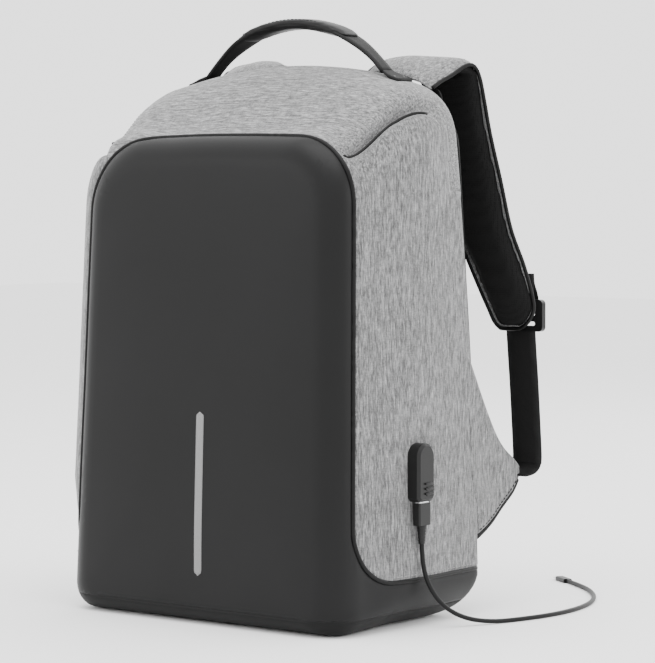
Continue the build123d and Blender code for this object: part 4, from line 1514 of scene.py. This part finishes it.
def makeLining():
    bm = bmesh.new()
    bmesh.ops.create_cube(bm, size=2)
    for v in bm.verts:
        v.co.y = (v.co.y + 1) * 1.5
    for axis, places in (((1, 0, 0), [-1 + i / 12 for i in range(1, 24)]),
                         ((0, 0, 1), [-1 + i / 16 for i in range(1, 32)]),
                         ((0, 1, 0), inside["deepCuts"])):
        for place in places:
            bmesh.ops.bisect_plane(bm, geom=bm.verts[:] + bm.edges[:] + bm.faces[:], dist=1e-6,
                                   plane_co=Vector(axis) * place, plane_no=axis)
    for v in bm.verts:
        v.co = formPoint(v.co.x, v.co.y, v.co.z, inside["inset"])
        if v.co.z > seam["topLow"] - 20 * mm:  # clear of the crease above it
            v.co.z -= inside["drop"] * bell(besideTop(v.co), inside["dropWidth"])
    bmesh.ops.recalc_face_normals(bm, faces=bm.faces[:])
    gone = []
    for f in bm.faces:
        c = f.calc_center_median()
        if c.y > rearY(max(c.z, 0)) - inside["inset"] - 1.5 * mm and c.z > seam["hingeZ"] + 2 * mm:
            gone.append(f)
    bmesh.ops.delete(bm, geom=gone, context="FACES")
    piece = meshPiece("lining", bm)
    addSolidify(piece, inside["wall"])
    finishPiece(piece, "shell", liningCloth, "lining_fabric", "lining")


# a flat pocket, open at the top, its front a little slack
def pouch(name, xs, ys, zs, body, slot, node, follow=None, sag=2 * mm):
    bm = cutCube((14, 2, 14))
    top = [f for f in bm.faces if f.calc_center_median().z > 0.999]
    bmesh.ops.delete(bm, geom=top, context="FACES")
    for v in bm.verts:
        s = v.co.copy()
        z = zs[0] + (zs[1] - zs[0]) * (s.z + 1) / 2
        slack = sag * (1 - s.x**4) * (1 - (s.z * 0.5 - 0.5) ** 4)
        y = ys[0] + (ys[1] - ys[0]) * (s.y + 1) / 2
        y += slack * (0.6 if s.y > 0 else -0.6) * abs(s.y) * (-1 if ys[0] < ys[1] else 1) * -0.5
        v.co = (xs[0] + (xs[1] - xs[0]) * (s.x + 1) / 2, y + (follow(z) if follow else 0), z)
    bmesh.ops.recalc_face_normals(bm, faces=bm.faces[:])
    piece = meshPiece(name, bm)
    addSolidify(piece, 1.0 * mm)
    addSubdivision(piece)
    finishPiece(piece, body, liningCloth, slot, node)


makeLining()
pouch("laptopSleeve", (-121 * mm, 121 * mm), (-8.4 * mm, 2.6 * mm), (85 * mm, 339 * mm),
      "back", "lining_fabric", "laptop_sleeve", rearY, 1.0 * mm)
pouch("organiserPocket", (-99 * mm, 99 * mm), (8.2 * mm, 17.0 * mm), (62 * mm, 219 * mm),
      "shell", "lining_fabric", "organiser_pocket", frontY, 1.5 * mm)
pouch("powerBankPocket", (112.6 * mm, 137.4 * mm), (-45 * mm, 39 * mm), (28 * mm, 111 * mm),
      "shell", "lining_fabric", "power_bank_pocket", None, 0.8 * mm)
print("inside made")

# charging lead
lead = dict(
    route=[(160.6, 3, 77.8), (160.6, 3, 58), (163, 7, 38), (169, 18, 19), (178, 36, 7), (189, 60, 2),
           (199, 90, 2), (205, 124, 2), (204, 160, 2), (195, 196, 2), (179, 229, 2), (157, 258, 2),
           (131, 282, 2), (102, 302, 2)],  # in mm
    radius=1.9 * mm, length=0.395,
)


def makeLead():
    line = bpy.data.curves.new("chargingLead", "CURVE")
    line.dimensions = "3D"
    line.bevel_depth = lead["radius"]
    line.bevel_resolution = 4
    line.resolution_u = 10
    line.use_fill_caps = True
    spline = line.splines.new("NURBS")
    spline.points.add(len(lead["route"]) - 1)
    for point, place in zip(spline.points, lead["route"]):
        point.co = (*[n * mm for n in place], 1)
    spline.order_u = 3
    spline.use_endpoint_u = True
    cable = bpy.data.objects.new("chargingLead", line)
    bpy.context.scene.collection.objects.link(cable)
    line.materials.append(cableJacket)
    finishPiece(cable, "shell", None, "cable_jacket", "charging_cable")
    x, y, z = [n * mm for n in lead["route"][0]]
    rings = []  # tapered relief above the cable
    for i in range(25):
        t = i / 24
        radius = 2.5 * mm + 1.2 * mm * t
        if i % 4 == 2 and i < 22:
            radius -= 0.35 * mm
        rings.append([Vector((x + u * radius, y + v * radius * 1.15, z - 8 * mm + 15 * mm * t))
                      for u, v in roundRing(20, 2, 2, 2.2)])
    relief = meshPiece("plugRelief", sweep(rings))
    finishPiece(relief, "shell", softPlastic, "black_plastic", "plug_relief")


makeLead()
print("charging lead made")

# finishes of the hard CAD parts
cadMaterials = dict(
    grey_melange=sideMelange, back_mesh=meshCloth, black_webbing=webbingCloth, piping=pipingCoat,
    reflective=reflectiveTape, stiff_board=boardPlastic, lining_fabric=liningCloth,
    black_plastic=blackPlastic, plated_steel=nickel, white_plastic=whitePlastic,
    cable_jacket=cableJacket, zip_tape=webbingCloth, zip_metal=gunmetal, zip_pull=softPlastic,
    black_pu=frontCoat,
)
for part in frame["record"]["subparts"]:
    node = frame["nodes"][part["node"]]
    node.data.materials.clear()
    node.data.materials.append(cadMaterials[part["material_slot"]])

form.free()
